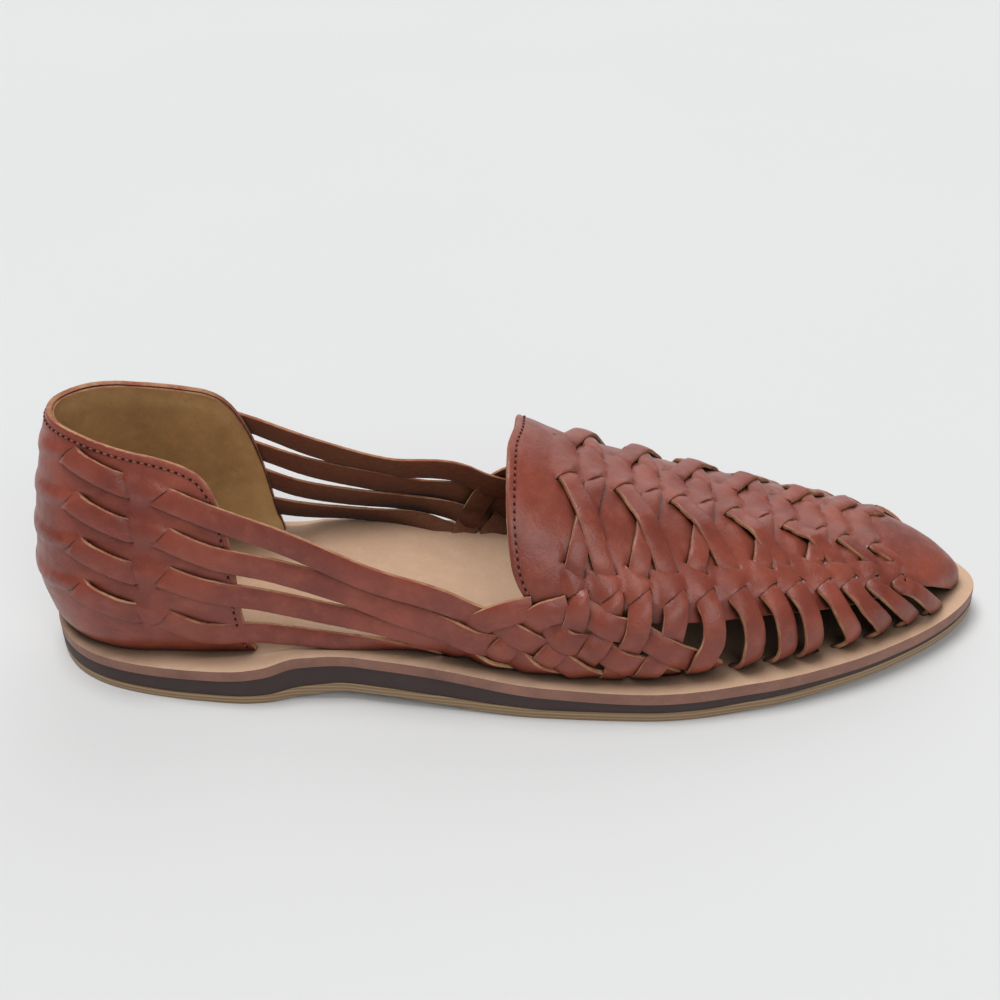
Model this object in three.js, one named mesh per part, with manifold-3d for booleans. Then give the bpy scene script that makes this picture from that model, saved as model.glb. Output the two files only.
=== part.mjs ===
// Right huarache sandal: woven leather vamp, open waist, heel counter held by four straps a side,
// and a flat sole of leather footbed, dark midsole and gum outsole.
// Millimetres, +X towards the toe, +Y towards the big toe side (medial), +Z up, standing on z = 0.
// x in the tables runs from the back of the footbed; "girth" is measured over the vamp's surface,
// square to x, from its ridge: negative down the lateral side, positive down the medial side.

import * as THREE from 'three';
import { mergeVertices } from 'three/addons/utils/BufferGeometryUtils.js';
import Module from 'manifold-3d';

const wasm = await Module();
wasm.setup();

// ---- driving sizes ----
const SOLE_LENGTH = 298.3;
const VAMP_TIP_X = 293.3;
const LAYER_GAP = 0.3;
const OUTSOLE_INSET = 0.5;
const MIDSOLE_INSET = 0.2;
const VAMP_WALL = 2.0;
const STRAP_THICKNESS = 1.8;
const HEEL_STRAP_THICKNESS = 1.9;
const COUNTER_WALL = 2.8;
const COUNTER_FRONT_GAP = 0.4;
const WIDEST_ABOVE_FOOTBED = 7;
const SIDE_BULGE = 1.2;
const LOW_ANGLE = -28;
const SOLE_STATIONS = 36;

// ---- tables, a row for each section ----
const PLAN = {
  columns: ['x', 'lateral', 'medial'],
  rows: [
    [0, 2, 2], [3, -13, 15.5], [8, -22.3, 24.5], [15, -29.7, 31.7], [25, -35.6, 37],
    [40, -40.2, 40.4], [55, -42.8, 41.2], [68, -44, 40.2], [75, -43.4, 39], [84, -41.4, 37.6],
    [96, -41.2, 36.2], [112, -43.6, 35.8], [130, -46.4, 37.2], [158, -50.3, 42.4],
    [190, -51.7, 47.9], [222, -46.5, 48.6], [250, -36.5, 44.2], [272, -23.8, 36.4],
    [286, -12.4, 28], [293, -4.4, 20.7], [296.4, 1.2, 15.3], [298.3, 8, 8],
  ],
};

const LAYERS = {
  columns: ['x', 'top', 'footbedUnder', 'midsoleUnder', 'outsoleUnder'],
  rows: [
    [0, 11.4, 7.6, 2.7, 0], [12, 11.4, 7.5, 2.6, 0], [55, 12, 8.1, 2.7, 0],
    [68, 12.8, 8.8, 2.8, 0], [75, 13.7, 9.6, 3, 0.1], [84, 15.7, 11.6, 4.4, 1],
    [98, 16.4, 12.5, 5.9, 2.9], [111, 16.3, 12.3, 5.8, 3], [122, 15.8, 11.7, 5.2, 2.3],
    [152, 12.4, 8.2, 3.4, 0.2], [160, 11.7, 7.5, 3.1, 0], [190, 10.6, 6.3, 3.1, 0],
    [205, 10.6, 6.3, 3.1, 0], [223, 10.9, 6.5, 3.8, 0.8], [261, 10.9, 6.4, 4.9, 2.2],
    [280, 10.6, 6.1, 4.8, 2.2], [298.3, 10.4, 5.9, 4.7, 2.1],
  ],
};

const VAMP_SECTIONS = {
  columns: ['x', 'lateral', 'medial', 'ridgeZ', 'ridgeY', 'roundness'],
  rows: [
    [100, -36.2, 30.6, 94.5, -1, 2.2], [126, -39.7, 31.2, 81.5, -1.5, 2.2],
    [151, -43, 35.2, 72.1, -1.5, 2.2], [170, -44.8, 38.6, 62.1, -2, 2.2],
    [190, -44.7, 41, 53.9, -1.5, 2.2], [210, -41.5, 41.6, 46.8, 0, 2.2],
    [230, -36.3, 40.2, 40.5, 2, 2.2], [250, -28.7, 36.8, 34.8, 4, 2.25],
    [265, -20.4, 32.2, 30.3, 6, 2.3], [278, -11, 25.8, 25.1, 7, 2.3],
    [287, -2.6, 18.8, 20.3, 7.5, 2.3], [291.5, 3, 12.2, 16.8, 7.5, 2.3],
    [293.3, 7.5, 7.5, 12.4, 7.5, 2.3],
  ],
};

// Where the leather panel stops, as girth, and the line of its throat edge.
const PANEL_EDGE = {
  columns: ['x', 'lateral', 'medial'],
  rows: [
    [148, -60, 58], [171, -57, 56], [190, -52.5, 53.5], [208, -47.5, 50], [227, -41.5, 44],
    [243, -36.8, 40], [259, -32, 34], [268, -29, 31], [280, -21.5, 22.5], [287, -15, 16],
    [290, -13.5, 14], [293.3, -3, 3],
  ],
};
const THROAT_LINE = {
  columns: ['girth', 'x'],
  rows: [[-60, 155], [-50, 150.6], [-31, 148.8], [-10, 149.2], [5, 151], [32, 151], [49, 150.8], [58, 155]],
};

// Twelve ribs a side: x and girth where each leaves the panel, and x where it meets the footbed.
const RIBS = {
  columns: ['topX', 'lateralTop', 'medialTop', 'footX', 'width'],
  rows: [
    [171, -47.9, 46.1, 157, 7.4], [180.5, -46.1, 45.4, 166, 7.4], [190, -43.3, 44.5, 178, 7.2],
    [199, -41, 43.2, 191, 7], [208.5, -38.3, 40.8, 204.5, 6.8], [218, -35, 37.8, 217, 6.8],
    [226.5, -32.5, 35, 228, 6.8], [235, -30, 33, 238.5, 6.8], [243.5, -27.7, 30.6, 249, 6.6],
    [252, -25.5, 28.2, 259.5, 6.2], [259.5, -23.3, 25, 269.5, 5.8], [268, -20.3, 22.3, 278.5, 5.4],
  ],
};
const RIB_START_INSIDE = 3;
const RIB_STEPS = 8;

// The close weave beside the instep: upper edge of its wall, as girth from the ridge.
const PLAIT_EDGE = {
  columns: ['x', 'lateral', 'medial'],
  rows: [
    [130, -80, 76], [135, -73.5, 70], [141, -67, 64], [147, -63.5, 60], [156, -59.8, 56.5],
    [165, -54.5, 51.5], [172, -50, 48], [185, -48, 47.5], [195, -50, 49], [203, -58, 54],
  ],
};
const PLAIT_STEPS = 14;
const PLAIT_BANDS = 6;
const PLAIT_THICKNESS = 3.0;
const PLAIT_SINK = 0.9;

// Heel counter, a row for each height: back x, half widths at COUNTER_WIDTH_X, front edge x.
const COUNTER = {
  columns: ['z', 'backX', 'lateral', 'medial', 'frontX'],
  rows: [
    [10, 4.6, 33, 32.6, 71.5], [13, 2.6, 34.4, 34, 71], [18, 0, 35.6, 35.4, 69.6],
    [30, -2.1, 35.4, 35.6, 68.2], [41, -1, 33, 33.4, 67.6], [52, 0.8, 30, 30.4, 66.8],
    [61, 2.7, 27, 27.4, 66], [70, 5, 24, 24.6, 65.4], [76, 6.8, 22, 22.6, 65], [82, 9.2, 20.2, 20.8, 65],
  ],
};
const COUNTER_ROUND_LENGTH = 36;
const COUNTER_ROUNDNESS = 2.15;
const COUNTER_FLARE = 0.045;
const COUNTER_AXIS_Y = 1.2;
const COUNTER_ROUND_SHARE = 0.64;
// Height of the top line from the back (share 0) round to the front edge (share 1).
const TOP_LINE = {
  columns: ['share', 'z'],
  rows: [[0, 81], [0.25, 80.2], [0.45, 77.8], [0.64, 74.2], [0.8, 70], [0.9, 66], [0.96, 62], [1, 56]],
};
const COUNTER_AROUND = 44;
const COUNTER_UP = 9;

// Heel straps: centre height and half height at the counter slit and at the weave.
const HEEL_STRAPS = {
  columns: ['slitX', 'slitZ', 'endX', 'endZ', 'width'],
  rows: [[48, 62.5, 137, 32, 8.2], [47.5, 50.5, 137, 27.5, 8.2], [46.5, 39, 132, 24.5, 8.2],
    [46, 25.5, 125, 19.5, 7.6]],
};
const HEEL_STRAP_STEPS = 9;
const HEEL_STRAP_LIFT = 0.4;
const WEAVE_START_X = 139;

// ---- tables into smooth curves ----
function endSlope(h0, h1, d0, d1) {
  const slope = ((2 * h0 + h1) * d0 - h0 * d1) / (h0 + h1);
  if (slope * d0 <= 0) return 0;
  return Math.abs(slope) > 3 * Math.abs(d0) ? 3 * d0 : slope;
}

function smooth(xs, ys) {
  const last = xs.length - 1;
  const h = xs.slice(1).map((x, i) => x - xs[i]);
  const d = h.map((step, i) => (ys[i + 1] - ys[i]) / step);
  const slopes = xs.map((_, i) => {
    if (i === 0) return endSlope(h[0], h[1], d[0], d[1]);
    if (i === last) return endSlope(h[last - 1], h[last - 2], d[last - 1], d[last - 2]);
    if (d[i - 1] * d[i] <= 0) return 0;
    const w1 = 2 * h[i] + h[i - 1];
    const w2 = h[i] + 2 * h[i - 1];
    return (w1 + w2) / (w1 / d[i - 1] + w2 / d[i]);
  });
  return (x) => {
    const t = Math.min(Math.max(x, xs[0]), xs[last]);
    let i = 0;
    while (i < last - 1 && t > xs[i + 1]) i += 1;
    const s = (t - xs[i]) / h[i];
    const a = (1 + 2 * s) * (1 - s) * (1 - s) * ys[i] + s * s * (3 - 2 * s) * ys[i + 1];
    const b = s * (1 - s) * (1 - s) * h[i] * slopes[i] - s * s * (1 - s) * h[i] * slopes[i + 1];
    return a + b;
  };
}

// A length taken round a half circle, so that a curve over it ends bluntly instead of in a point.
function rounded(x, length) {
  return Math.acos(Math.min(Math.max(1 - (2 * x) / length, -1), 1)) / Math.PI;
}

function column(table, name, length = 0) {
  const index = table.columns.indexOf(name);
  const key = (x) => (length > 0 ? rounded(x, length) : x);
  const curve = smooth(table.rows.map((row) => key(row[0])), table.rows.map((row) => row[index]));
  return (x) => curve(key(x));
}

function rowsOf(table) {
  return table.rows.map((row) => Object.fromEntries(table.columns.map((name, i) => [name, row[i]])));
}

const soleLateral = column(PLAN, 'lateral', SOLE_LENGTH);
const soleMedial = column(PLAN, 'medial', SOLE_LENGTH);
const layer = Object.fromEntries(LAYERS.columns.slice(1).map((name) => [name, column(LAYERS, name)]));
const section = Object.fromEntries(
  VAMP_SECTIONS.columns.slice(1).map((name) => [name, column(VAMP_SECTIONS, name, VAMP_TIP_X)]),
);

// ---- the last's surface over the forefoot ----
function sectionPoint(x, degrees) {
  const angle = THREE.MathUtils.degToRad(degrees);
  const c = Math.cos(angle);
  const s = Math.sin(angle);
  const ridgeZ = section.ridgeZ(x);
  const ridgeY = section.ridgeY(x);
  const power = 2 / section.roundness(x);
  const bulge = SIDE_BULGE * Math.min((VAMP_TIP_X - x) / 12, 1);
  const half = c > 0 ? ridgeY - section.lateral(x) + bulge : section.medial(x) + bulge - ridgeY;
  const floor = layer.top(x);
  const widest = floor + Math.min(WIDEST_ABOVE_FOOTBED, 0.35 * (ridgeZ - floor));
  const y = ridgeY - Math.sign(c) * half * Math.abs(c) ** power;
  const low = Math.sin(THREE.MathUtils.degToRad(LOW_ANGLE));
  const z = s >= 0 ? widest + (ridgeZ - widest) * s ** power : widest - ((widest - floor) * s) / low;
  return new THREE.Vector3(x, y, z);
}

const GIRTH_STEP = 3;
const girthCache = new Map();
function girths(x) {
  const key = x.toFixed(4);
  if (!girthCache.has(key)) {
    const degrees = [];
    const lengths = [];
    let total = 0;
    let ridge = 0;
    let before = null;
    for (let angle = LOW_ANGLE - 12; angle <= 180 - LOW_ANGLE + 12; angle += GIRTH_STEP / 3) {
      const point = sectionPoint(x, angle);
      total += before ? point.distanceTo(before) : 0;
      if (angle <= 90) ridge = total;
      degrees.push(angle);
      lengths.push(total);
      before = point;
    }
    girthCache.set(key, { degrees, lengths: lengths.map((length) => length - ridge) });
  }
  return girthCache.get(key);
}

function angleAt(x, girth) {
  const { degrees, lengths } = girths(x);
  const last = lengths.length - 1;
  let i = 0;
  while (i < last - 1 && lengths[i + 1] < girth) i += 1;
  const share = (girth - lengths[i]) / Math.max(lengths[i + 1] - lengths[i], 1e-6);
  return degrees[i] + share * (degrees[i + 1] - degrees[i]);
}

function baseGirth(x, side) {
  const { degrees, lengths } = girths(x);
  const target = side < 0 ? LOW_ANGLE : 180 - LOW_ANGLE;
  const i = degrees.findIndex((angle) => angle >= target);
  return lengths[i];
}

function surfacePoint(x, girth) {
  return sectionPoint(x, angleAt(x, girth));
}

function surfaceNormal(x, girth) {
  const step = 0.5;
  const angle = angleAt(x, girth);
  const along = sectionPoint(Math.min(x + step, VAMP_TIP_X - 0.2), angle);
  along.sub(sectionPoint(x - step, angle));
  const across = sectionPoint(x, angle + step).sub(sectionPoint(x, angle - step));
  return across.cross(along).normalize().negate();
}

function lifted(x, girth, lift) {
  return surfacePoint(x, girth).addScaledVector(surfaceNormal(x, girth), lift);
}

// ---- closed meshes ----
function closedMesh(points, faces) {
  const geometry = new THREE.BufferGeometry();
  geometry.setAttribute('position', new THREE.Float32BufferAttribute(points.flatMap((p) => p.toArray()), 3));
  geometry.setIndex(faces.flat());
  const merged = mergeVertices(geometry, 1e-4);
  const index = merged.index.array;
  const kept = [];
  for (let i = 0; i < index.length; i += 3) {
    const [a, b, c] = index.slice(i, i + 3);
    if (a !== b && b !== c && a !== c) kept.push(a, b, c);
  }
  merged.setIndex(kept);
  return merged;
}

// Faces between two matching grids of points: outer skin, inner skin and the four rims between them.
function skins(outer, inner) {
  const rows = outer.length;
  const cols = outer[0].length;
  const points = [...outer.flat(), ...inner.flat()];
  const at = (skin, i, j) => skin * rows * cols + i * cols + j;
  const faces = [];
  const quad = (a, b, c, d) => faces.push([a, b, c], [a, c, d]);
  for (let i = 0; i < rows - 1; i += 1) {
    for (let j = 0; j < cols - 1; j += 1) {
      quad(at(0, i, j), at(0, i + 1, j), at(0, i + 1, j + 1), at(0, i, j + 1));
      quad(at(1, i, j), at(1, i, j + 1), at(1, i + 1, j + 1), at(1, i + 1, j));
    }
    quad(at(0, i, 0), at(1, i, 0), at(1, i + 1, 0), at(0, i + 1, 0));
    quad(at(0, i, cols - 1), at(0, i + 1, cols - 1), at(1, i + 1, cols - 1), at(1, i, cols - 1));
  }
  for (let j = 0; j < cols - 1; j += 1) {
    quad(at(0, 0, j), at(0, 0, j + 1), at(1, 0, j + 1), at(1, 0, j));
    quad(at(0, rows - 1, j), at(1, rows - 1, j), at(1, rows - 1, j + 1), at(0, rows - 1, j + 1));
  }
  return closedMesh(points, faces);
}

function toManifold(geometry) {
  const triVerts = new Uint32Array(geometry.index.array);
  const vertProperties = new Float32Array(geometry.attributes.position.array);
  const solid = new wasm.Manifold(new wasm.Mesh({ numProp: 3, vertProperties, triVerts }));
  if (solid.volume() > 0) return solid;
  const turned = triVerts.slice();
  for (let i = 0; i < turned.length; i += 3) [turned[i], turned[i + 1]] = [turned[i + 1], turned[i]];
  return new wasm.Manifold(new wasm.Mesh({ numProp: 3, vertProperties, triVerts: turned }));
}

// The outside skin of a solid: slivers of air shut in between overlapping strips are filled.
function filled(solid) {
  return joined(solid.decompose().filter((shell) => shell.volume() > 5));
}

function toGeometry(solid) {
  const mesh = filled(solid).getMesh();
  const geometry = new THREE.BufferGeometry();
  const positions = [];
  for (let i = 0; i < mesh.vertProperties.length; i += mesh.numProp) {
    positions.push(...mesh.vertProperties.slice(i, i + 3));
  }
  geometry.setAttribute('position', new THREE.Float32BufferAttribute(positions, 3));
  geometry.setIndex([...mesh.triVerts]);
  geometry.computeVertexNormals();
  return geometry;
}

function joined(solids) {
  return solids.reduce((whole, solid) => whole.add(solid));
}

// ---- sole ----
function soleSlab(topOf, underOf, inset) {
  const outer = [];
  const inner = [];
  for (let i = 0; i <= SOLE_STATIONS; i += 1) {
    const share = (1 - Math.cos((Math.PI * i) / SOLE_STATIONS)) / 2;
    const x = SOLE_LENGTH * share;
    const placed = inset + (SOLE_LENGTH - 2 * inset) * share;
    const closing = Math.sin(Math.PI * Math.min(i, SOLE_STATIONS - i) / SOLE_STATIONS) ** 0.5;
    const lateral = soleLateral(x) + inset * closing;
    const medial = soleMedial(x) - inset * closing;
    outer.push([lateral, medial].map((y) => new THREE.Vector3(placed, y, topOf(placed))));
    inner.push([lateral, medial].map((y) => new THREE.Vector3(placed, y, underOf(placed))));
  }
  return skins(outer, inner);
}

function makeFootbed() {
  return soleSlab(layer.top, layer.footbedUnder, 0);
}

function makeMidsole() {
  return soleSlab((x) => layer.footbedUnder(x) - LAYER_GAP, layer.midsoleUnder, MIDSOLE_INSET);
}

function makeOutsole() {
  return soleSlab((x) => layer.midsoleUnder(x) - LAYER_GAP, layer.outsoleUnder, OUTSOLE_INSET);
}

// Everything up to the gap above the footbed's face, taken off the foot of the upper.
function belowUpper() {
  const reach = 90;
  const outer = [];
  const inner = [];
  for (let i = 0; i <= SOLE_STATIONS; i += 1) {
    const share = (1 - Math.cos((Math.PI * i) / SOLE_STATIONS)) / 2;
    const x = SOLE_LENGTH * share;
    const placed = x + (i === 0 ? -20 : 0) + (i === SOLE_STATIONS ? 20 : 0);
    const z = layer.top(x) + LAYER_GAP;
    outer.push([-reach, reach].map((y) => new THREE.Vector3(placed, y, z)));
    inner.push([-reach, reach].map((y) => new THREE.Vector3(placed, y, -reach)));
  }
  return toManifold(skins(outer, inner));
}

// ---- vamp ----
function panelShell() {
  const rows = 26;
  const cols = 28;
  const lateralEdge = column(PANEL_EDGE, 'lateral');
  const medialEdge = column(PANEL_EDGE, 'medial');
  const throat = column(THROAT_LINE, 'x');
  const innerTip = new THREE.Vector3(VAMP_TIP_X - 2 * VAMP_WALL, section.ridgeY(VAMP_TIP_X), 14);
  const outer = [];
  const inner = [];
  for (let i = 0; i < rows; i += 1) {
    const along = Math.sin((Math.PI / 2) * (i / (rows - 1)));
    const outerRow = [];
    const innerRow = [];
    for (let j = 0; j <= cols; j += 1) {
      const side = (2 * j) / cols - 1;
      const edge = side < 0 ? lateralEdge : medialEdge;
      const start = throat(Math.abs(side) * edge(148));
      const x = start + (VAMP_TIP_X - start) * along;
      const girth = Math.abs(side) * edge(x);
      const innerX = start + (VAMP_TIP_X - 3 * VAMP_WALL - start) * along;
      const last = i === rows - 1;
      const innerGirth = Math.abs(side) * edge(innerX);
      const tip = surfacePoint(VAMP_TIP_X, 0);
      outerRow.push(last ? tip : surfacePoint(x, girth));
      innerRow.push(last ? innerTip : lifted(innerX, innerGirth, -VAMP_WALL));
    }
    outer.push(outerRow);
    inner.push(innerRow);
  }
  return toManifold(skins(outer, inner));
}

// A flat strip laid along a path of { x, girth, lift }, its width across the path.
function surfaceStrip(path, width, thickness) {
  const centres = path.map(({ x, girth }) => surfacePoint(x, girth));
  const outer = [];
  const inner = [];
  path.forEach(({ x, girth, lift }, i) => {
    const before = centres[Math.max(i - 1, 0)];
    const after = centres[Math.min(i + 1, centres.length - 1)];
    const normal = surfaceNormal(x, girth);
    const across = after.clone().sub(before).cross(normal).normalize();
    const ends = [-width / 2, width / 2].map((w) => centres[i].clone().addScaledVector(across, w));
    outer.push(ends.map((p) => p.clone().addScaledVector(normal, lift + thickness)));
    inner.push(ends.map((p) => p.clone().addScaledVector(normal, lift)));
  });
  return toManifold(skins(outer, inner));
}

function rib(row, side) {
  const top = side < 0 ? row.lateralTop : row.medialTop;
  const start = top - side * RIB_START_INSIDE;
  const foot = baseGirth(row.footX, side) + side * 0.6;
  const path = [];
  for (let i = 0; i <= RIB_STEPS; i += 1) {
    const share = i / RIB_STEPS;
    path.push({
      x: row.topX + (row.footX - row.topX) * share,
      girth: start + (foot - start) * share,
      lift: -0.9 + 0.7 * Math.min(share * 3, 1),
    });
  }
  return surfaceStrip(path, row.width, STRAP_THICKNESS + 0.4);
}

function plaitWall(side) {
  const edge = column(PLAIT_EDGE, side < 0 ? 'lateral' : 'medial');
  const first = PLAIT_EDGE.rows[0][0];
  const last = PLAIT_EDGE.rows[PLAIT_EDGE.rows.length - 1][0];
  const outer = [];
  const inner = [];
  for (let i = 0; i <= PLAIT_STEPS; i += 1) {
    const x = first + ((last - first) * i) / PLAIT_STEPS;
    const foot = baseGirth(x, side) + side * 1.2;
    const girthsAcross = [];
    for (let j = 0; j <= PLAIT_BANDS; j += 1) girthsAcross.push(foot + ((edge(x) - foot) * j) / PLAIT_BANDS);
    outer.push(girthsAcross.map((girth) => lifted(x, girth, PLAIT_THICKNESS - PLAIT_SINK)));
    inner.push(girthsAcross.map((girth) => lifted(x, girth, -PLAIT_SINK)));
  }
  return toManifold(skins(outer, inner));
}

function makeVamp() {
  const pieces = [panelShell()];
  for (const side of [-1, 1]) {
    rowsOf(RIBS).forEach((row) => pieces.push(rib(row, side)));
    pieces.push(plaitWall(side));
  }
  return toGeometry(joined(pieces).subtract(belowUpper()));
}

// ---- heel counter ----
const counter = Object.fromEntries(COUNTER.columns.slice(1).map((name) => [name, column(COUNTER, name)]));
const topLine = column(TOP_LINE, 'z');

function counterOutline(share, z, side) {
  const back = counter.backX(z);
  const half = side < 0 ? counter.lateral(z) : counter.medial(z);
  if (share < COUNTER_ROUND_SHARE) {
    const turn = (share / COUNTER_ROUND_SHARE) * (Math.PI / 2);
    const power = 2 / COUNTER_ROUNDNESS;
    const x = back + COUNTER_ROUND_LENGTH * (1 - Math.cos(turn) ** power);
    return new THREE.Vector3(x, COUNTER_AXIS_Y + side * half * Math.sin(turn) ** power, z);
  }
  const run = (share - COUNTER_ROUND_SHARE) / (1 - COUNTER_ROUND_SHARE);
  const start = back + COUNTER_ROUND_LENGTH;
  const x = start + (counter.frontX(z) - start) * run;
  return new THREE.Vector3(x, COUNTER_AXIS_Y + side * (half + COUNTER_FLARE * (x - start)), z);
}

function counterNormal(share, z, side) {
  const step = 0.01;
  const s0 = Math.max(share - step, 0);
  const s1 = Math.min(share + step, 1);
  const along = counterOutline(s1, z, side).sub(counterOutline(s0, z, side));
  const up = counterOutline(share, z + 0.5, side).sub(counterOutline(share, z - 0.5, side));
  const normal = along.cross(up).normalize().multiplyScalar(side);
  if (share === 0) normal.y = 0;
  return normal.normalize();
}

function makeCounter() {
  const outer = [];
  const inner = [];
  for (let i = 0; i <= COUNTER_AROUND; i += 1) {
    const around = (2 * i) / COUNTER_AROUND - 1;
    const side = around < 0 ? -1 : 1;
    const share = Math.abs(around);
    const outerColumn = [];
    const innerColumn = [];
    for (let j = 0; j <= COUNTER_UP; j += 1) {
      const foot = COUNTER.rows[0][0];
      const z = foot + ((topLine(share) - foot) * j) / COUNTER_UP;
      const point = counterOutline(share, z, side);
      outerColumn.push(point);
      innerColumn.push(point.clone().addScaledVector(counterNormal(share, z, side), COUNTER_WALL));
    }
    outer.push(outerColumn);
    inner.push(innerColumn);
  }
  return toGeometry(toManifold(skins(outer, inner)).subtract(belowUpper()));
}

// ---- heel straps ----
function sideWall(x, z, side) {
  const front = counter.frontX(z);
  const start = counter.backX(z) + COUNTER_ROUND_LENGTH;
  const half = side < 0 ? counter.lateral(z) : counter.medial(z);
  const onCounter = COUNTER_AXIS_Y + side * (half + COUNTER_FLARE * (Math.min(x, front) - start));
  if (x <= front) return onCounter;
  const end = side < 0 ? -43.5 : 36.5;
  const share = (x - front) / (WEAVE_START_X - front);
  return onCounter + (end - onCounter) * share;
}

function heelStrap(row, side) {
  const outer = [];
  const inner = [];
  for (let i = 0; i <= HEEL_STRAP_STEPS; i += 1) {
    const share = i / HEEL_STRAP_STEPS;
    const x = row.slitX + (row.endX - row.slitX) * share;
    const z = row.slitZ + (row.endZ - row.slitZ) * share;
    const ends = [-row.width / 2, row.width / 2].map((height) => {
      const y = sideWall(x, z + height, side);
      return new THREE.Vector3(x, y + side * HEEL_STRAP_LIFT, z + height);
    });
    inner.push(ends);
    outer.push(ends.map((p) => p.clone().add(new THREE.Vector3(0, side * HEEL_STRAP_THICKNESS, 0))));
  }
  return toManifold(skins(outer, inner));
}

function makeHeelStraps(side, upper) {
  const straps = rowsOf(HEEL_STRAPS).map((row) => heelStrap(row, side));
  return toGeometry(joined(straps).subtract(belowUpper()).subtract(upper));
}

// A thick block where the close weave stands, so that the straps stop just short of it.
function weaveClearance(side) {
  const outer = [];
  const inner = [];
  for (const x of [129.6, 134, 140, 150, 160]) {
    const foot = baseGirth(x, side) + side * 3;
    const edge = side < 0 ? -40 : 40;
    const across = [0, 0.25, 0.5, 0.75, 1].map((share) => foot + (edge - foot) * share);
    outer.push(across.map((girth) => lifted(x, girth, PLAIT_THICKNESS + 6)));
    inner.push(across.map((girth) => lifted(x, girth, -PLAIT_THICKNESS - 6)));
  }
  return toManifold(skins(outer, inner));
}

// ---- the sandal ----
function leather(colour, roughness) {
  return new THREE.MeshStandardMaterial({ color: colour, roughness, metalness: 0 });
}

function piece(name, geometry, material) {
  const mesh = new THREE.Mesh(geometry, material);
  mesh.name = name;
  return mesh;
}

const upperLeather = leather(0x87493c, 0.5);
const sole = new THREE.Group();
sole.add(piece('outsole', makeOutsole(), leather(0x8a7358, 0.7)));
sole.add(piece('midsole', makeMidsole(), leather(0x362b2b, 0.8)));
sole.add(piece('footbed', makeFootbed(), leather(0xc4a388, 0.75)));

const upper = new THREE.Group();
upper.add(piece('vamp', makeVamp(), upperLeather));
upper.add(piece('heel_counter', makeCounter(), upperLeather));
upper.add(piece('heel_straps_lateral', makeHeelStraps(-1, weaveClearance(-1)), upperLeather));
upper.add(piece('heel_straps_medial', makeHeelStraps(1, weaveClearance(1)), upperLeather));

// The origin is under the middle of the whole sandal, on the ground.
const sandal = new THREE.Group();
sandal.name = 'sandal';
sandal.add(sole, upper);
const bounds = new THREE.Box3().setFromObject(sandal);
const middle = bounds.getCenter(new THREE.Vector3());
sandal.position.set(-middle.x, -middle.y, -bounds.min.z);
sandal.updateMatrixWorld(true);

export default sandal;
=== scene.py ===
"""A right huarache sandal: woven leather upper on a flat layered sole, built round its CAD frame.

Lengths in the tables are millimetres in the shoemaker's frame: x from the back of the footbed to the
toe, y towards the big toe side, z up from the ground. Over the vamp a place is (x, girth): the distance
over the leather, square to x, from the ridge, negative down the lateral side.
"""

import math

import bpy
import numpy as np
from mathutils import Matrix, Vector
from mathutils.geometry import delaunay_2d_cdt


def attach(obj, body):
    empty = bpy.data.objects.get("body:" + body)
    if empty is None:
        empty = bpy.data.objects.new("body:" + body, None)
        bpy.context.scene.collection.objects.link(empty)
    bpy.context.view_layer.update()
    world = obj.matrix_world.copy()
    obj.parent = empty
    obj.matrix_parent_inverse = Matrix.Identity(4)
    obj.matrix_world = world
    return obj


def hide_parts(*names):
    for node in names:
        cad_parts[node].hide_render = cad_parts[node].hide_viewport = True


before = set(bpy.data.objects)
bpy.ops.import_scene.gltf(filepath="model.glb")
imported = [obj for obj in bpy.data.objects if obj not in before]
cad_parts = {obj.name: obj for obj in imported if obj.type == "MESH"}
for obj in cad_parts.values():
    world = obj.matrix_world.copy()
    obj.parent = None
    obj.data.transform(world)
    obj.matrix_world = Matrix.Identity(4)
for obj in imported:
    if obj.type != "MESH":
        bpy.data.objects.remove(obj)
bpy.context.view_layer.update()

bl_info = {
    "name": "Huarache Sandal",
    "version": (1, 0, 0),
    "blender": (4, 5, 0),
    "location": "View3D > Sidebar > Sandal",
    "description": "Builds a woven leather huarache sandal on its flat sole",
    "category": "Object",
}

# ---- sizes, millimetres ----
ORIGIN = np.array([-148.192, 1.557, 0.0])
SOLE_LENGTH = 298.3
TIP_X = 293.3
WIDEST_ABOVE_FOOTBED = 7.0
SIDE_BULGE = 1.2
LOW_ANGLE = -28.0
LATERAL = -1
MEDIAL = 1

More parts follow.
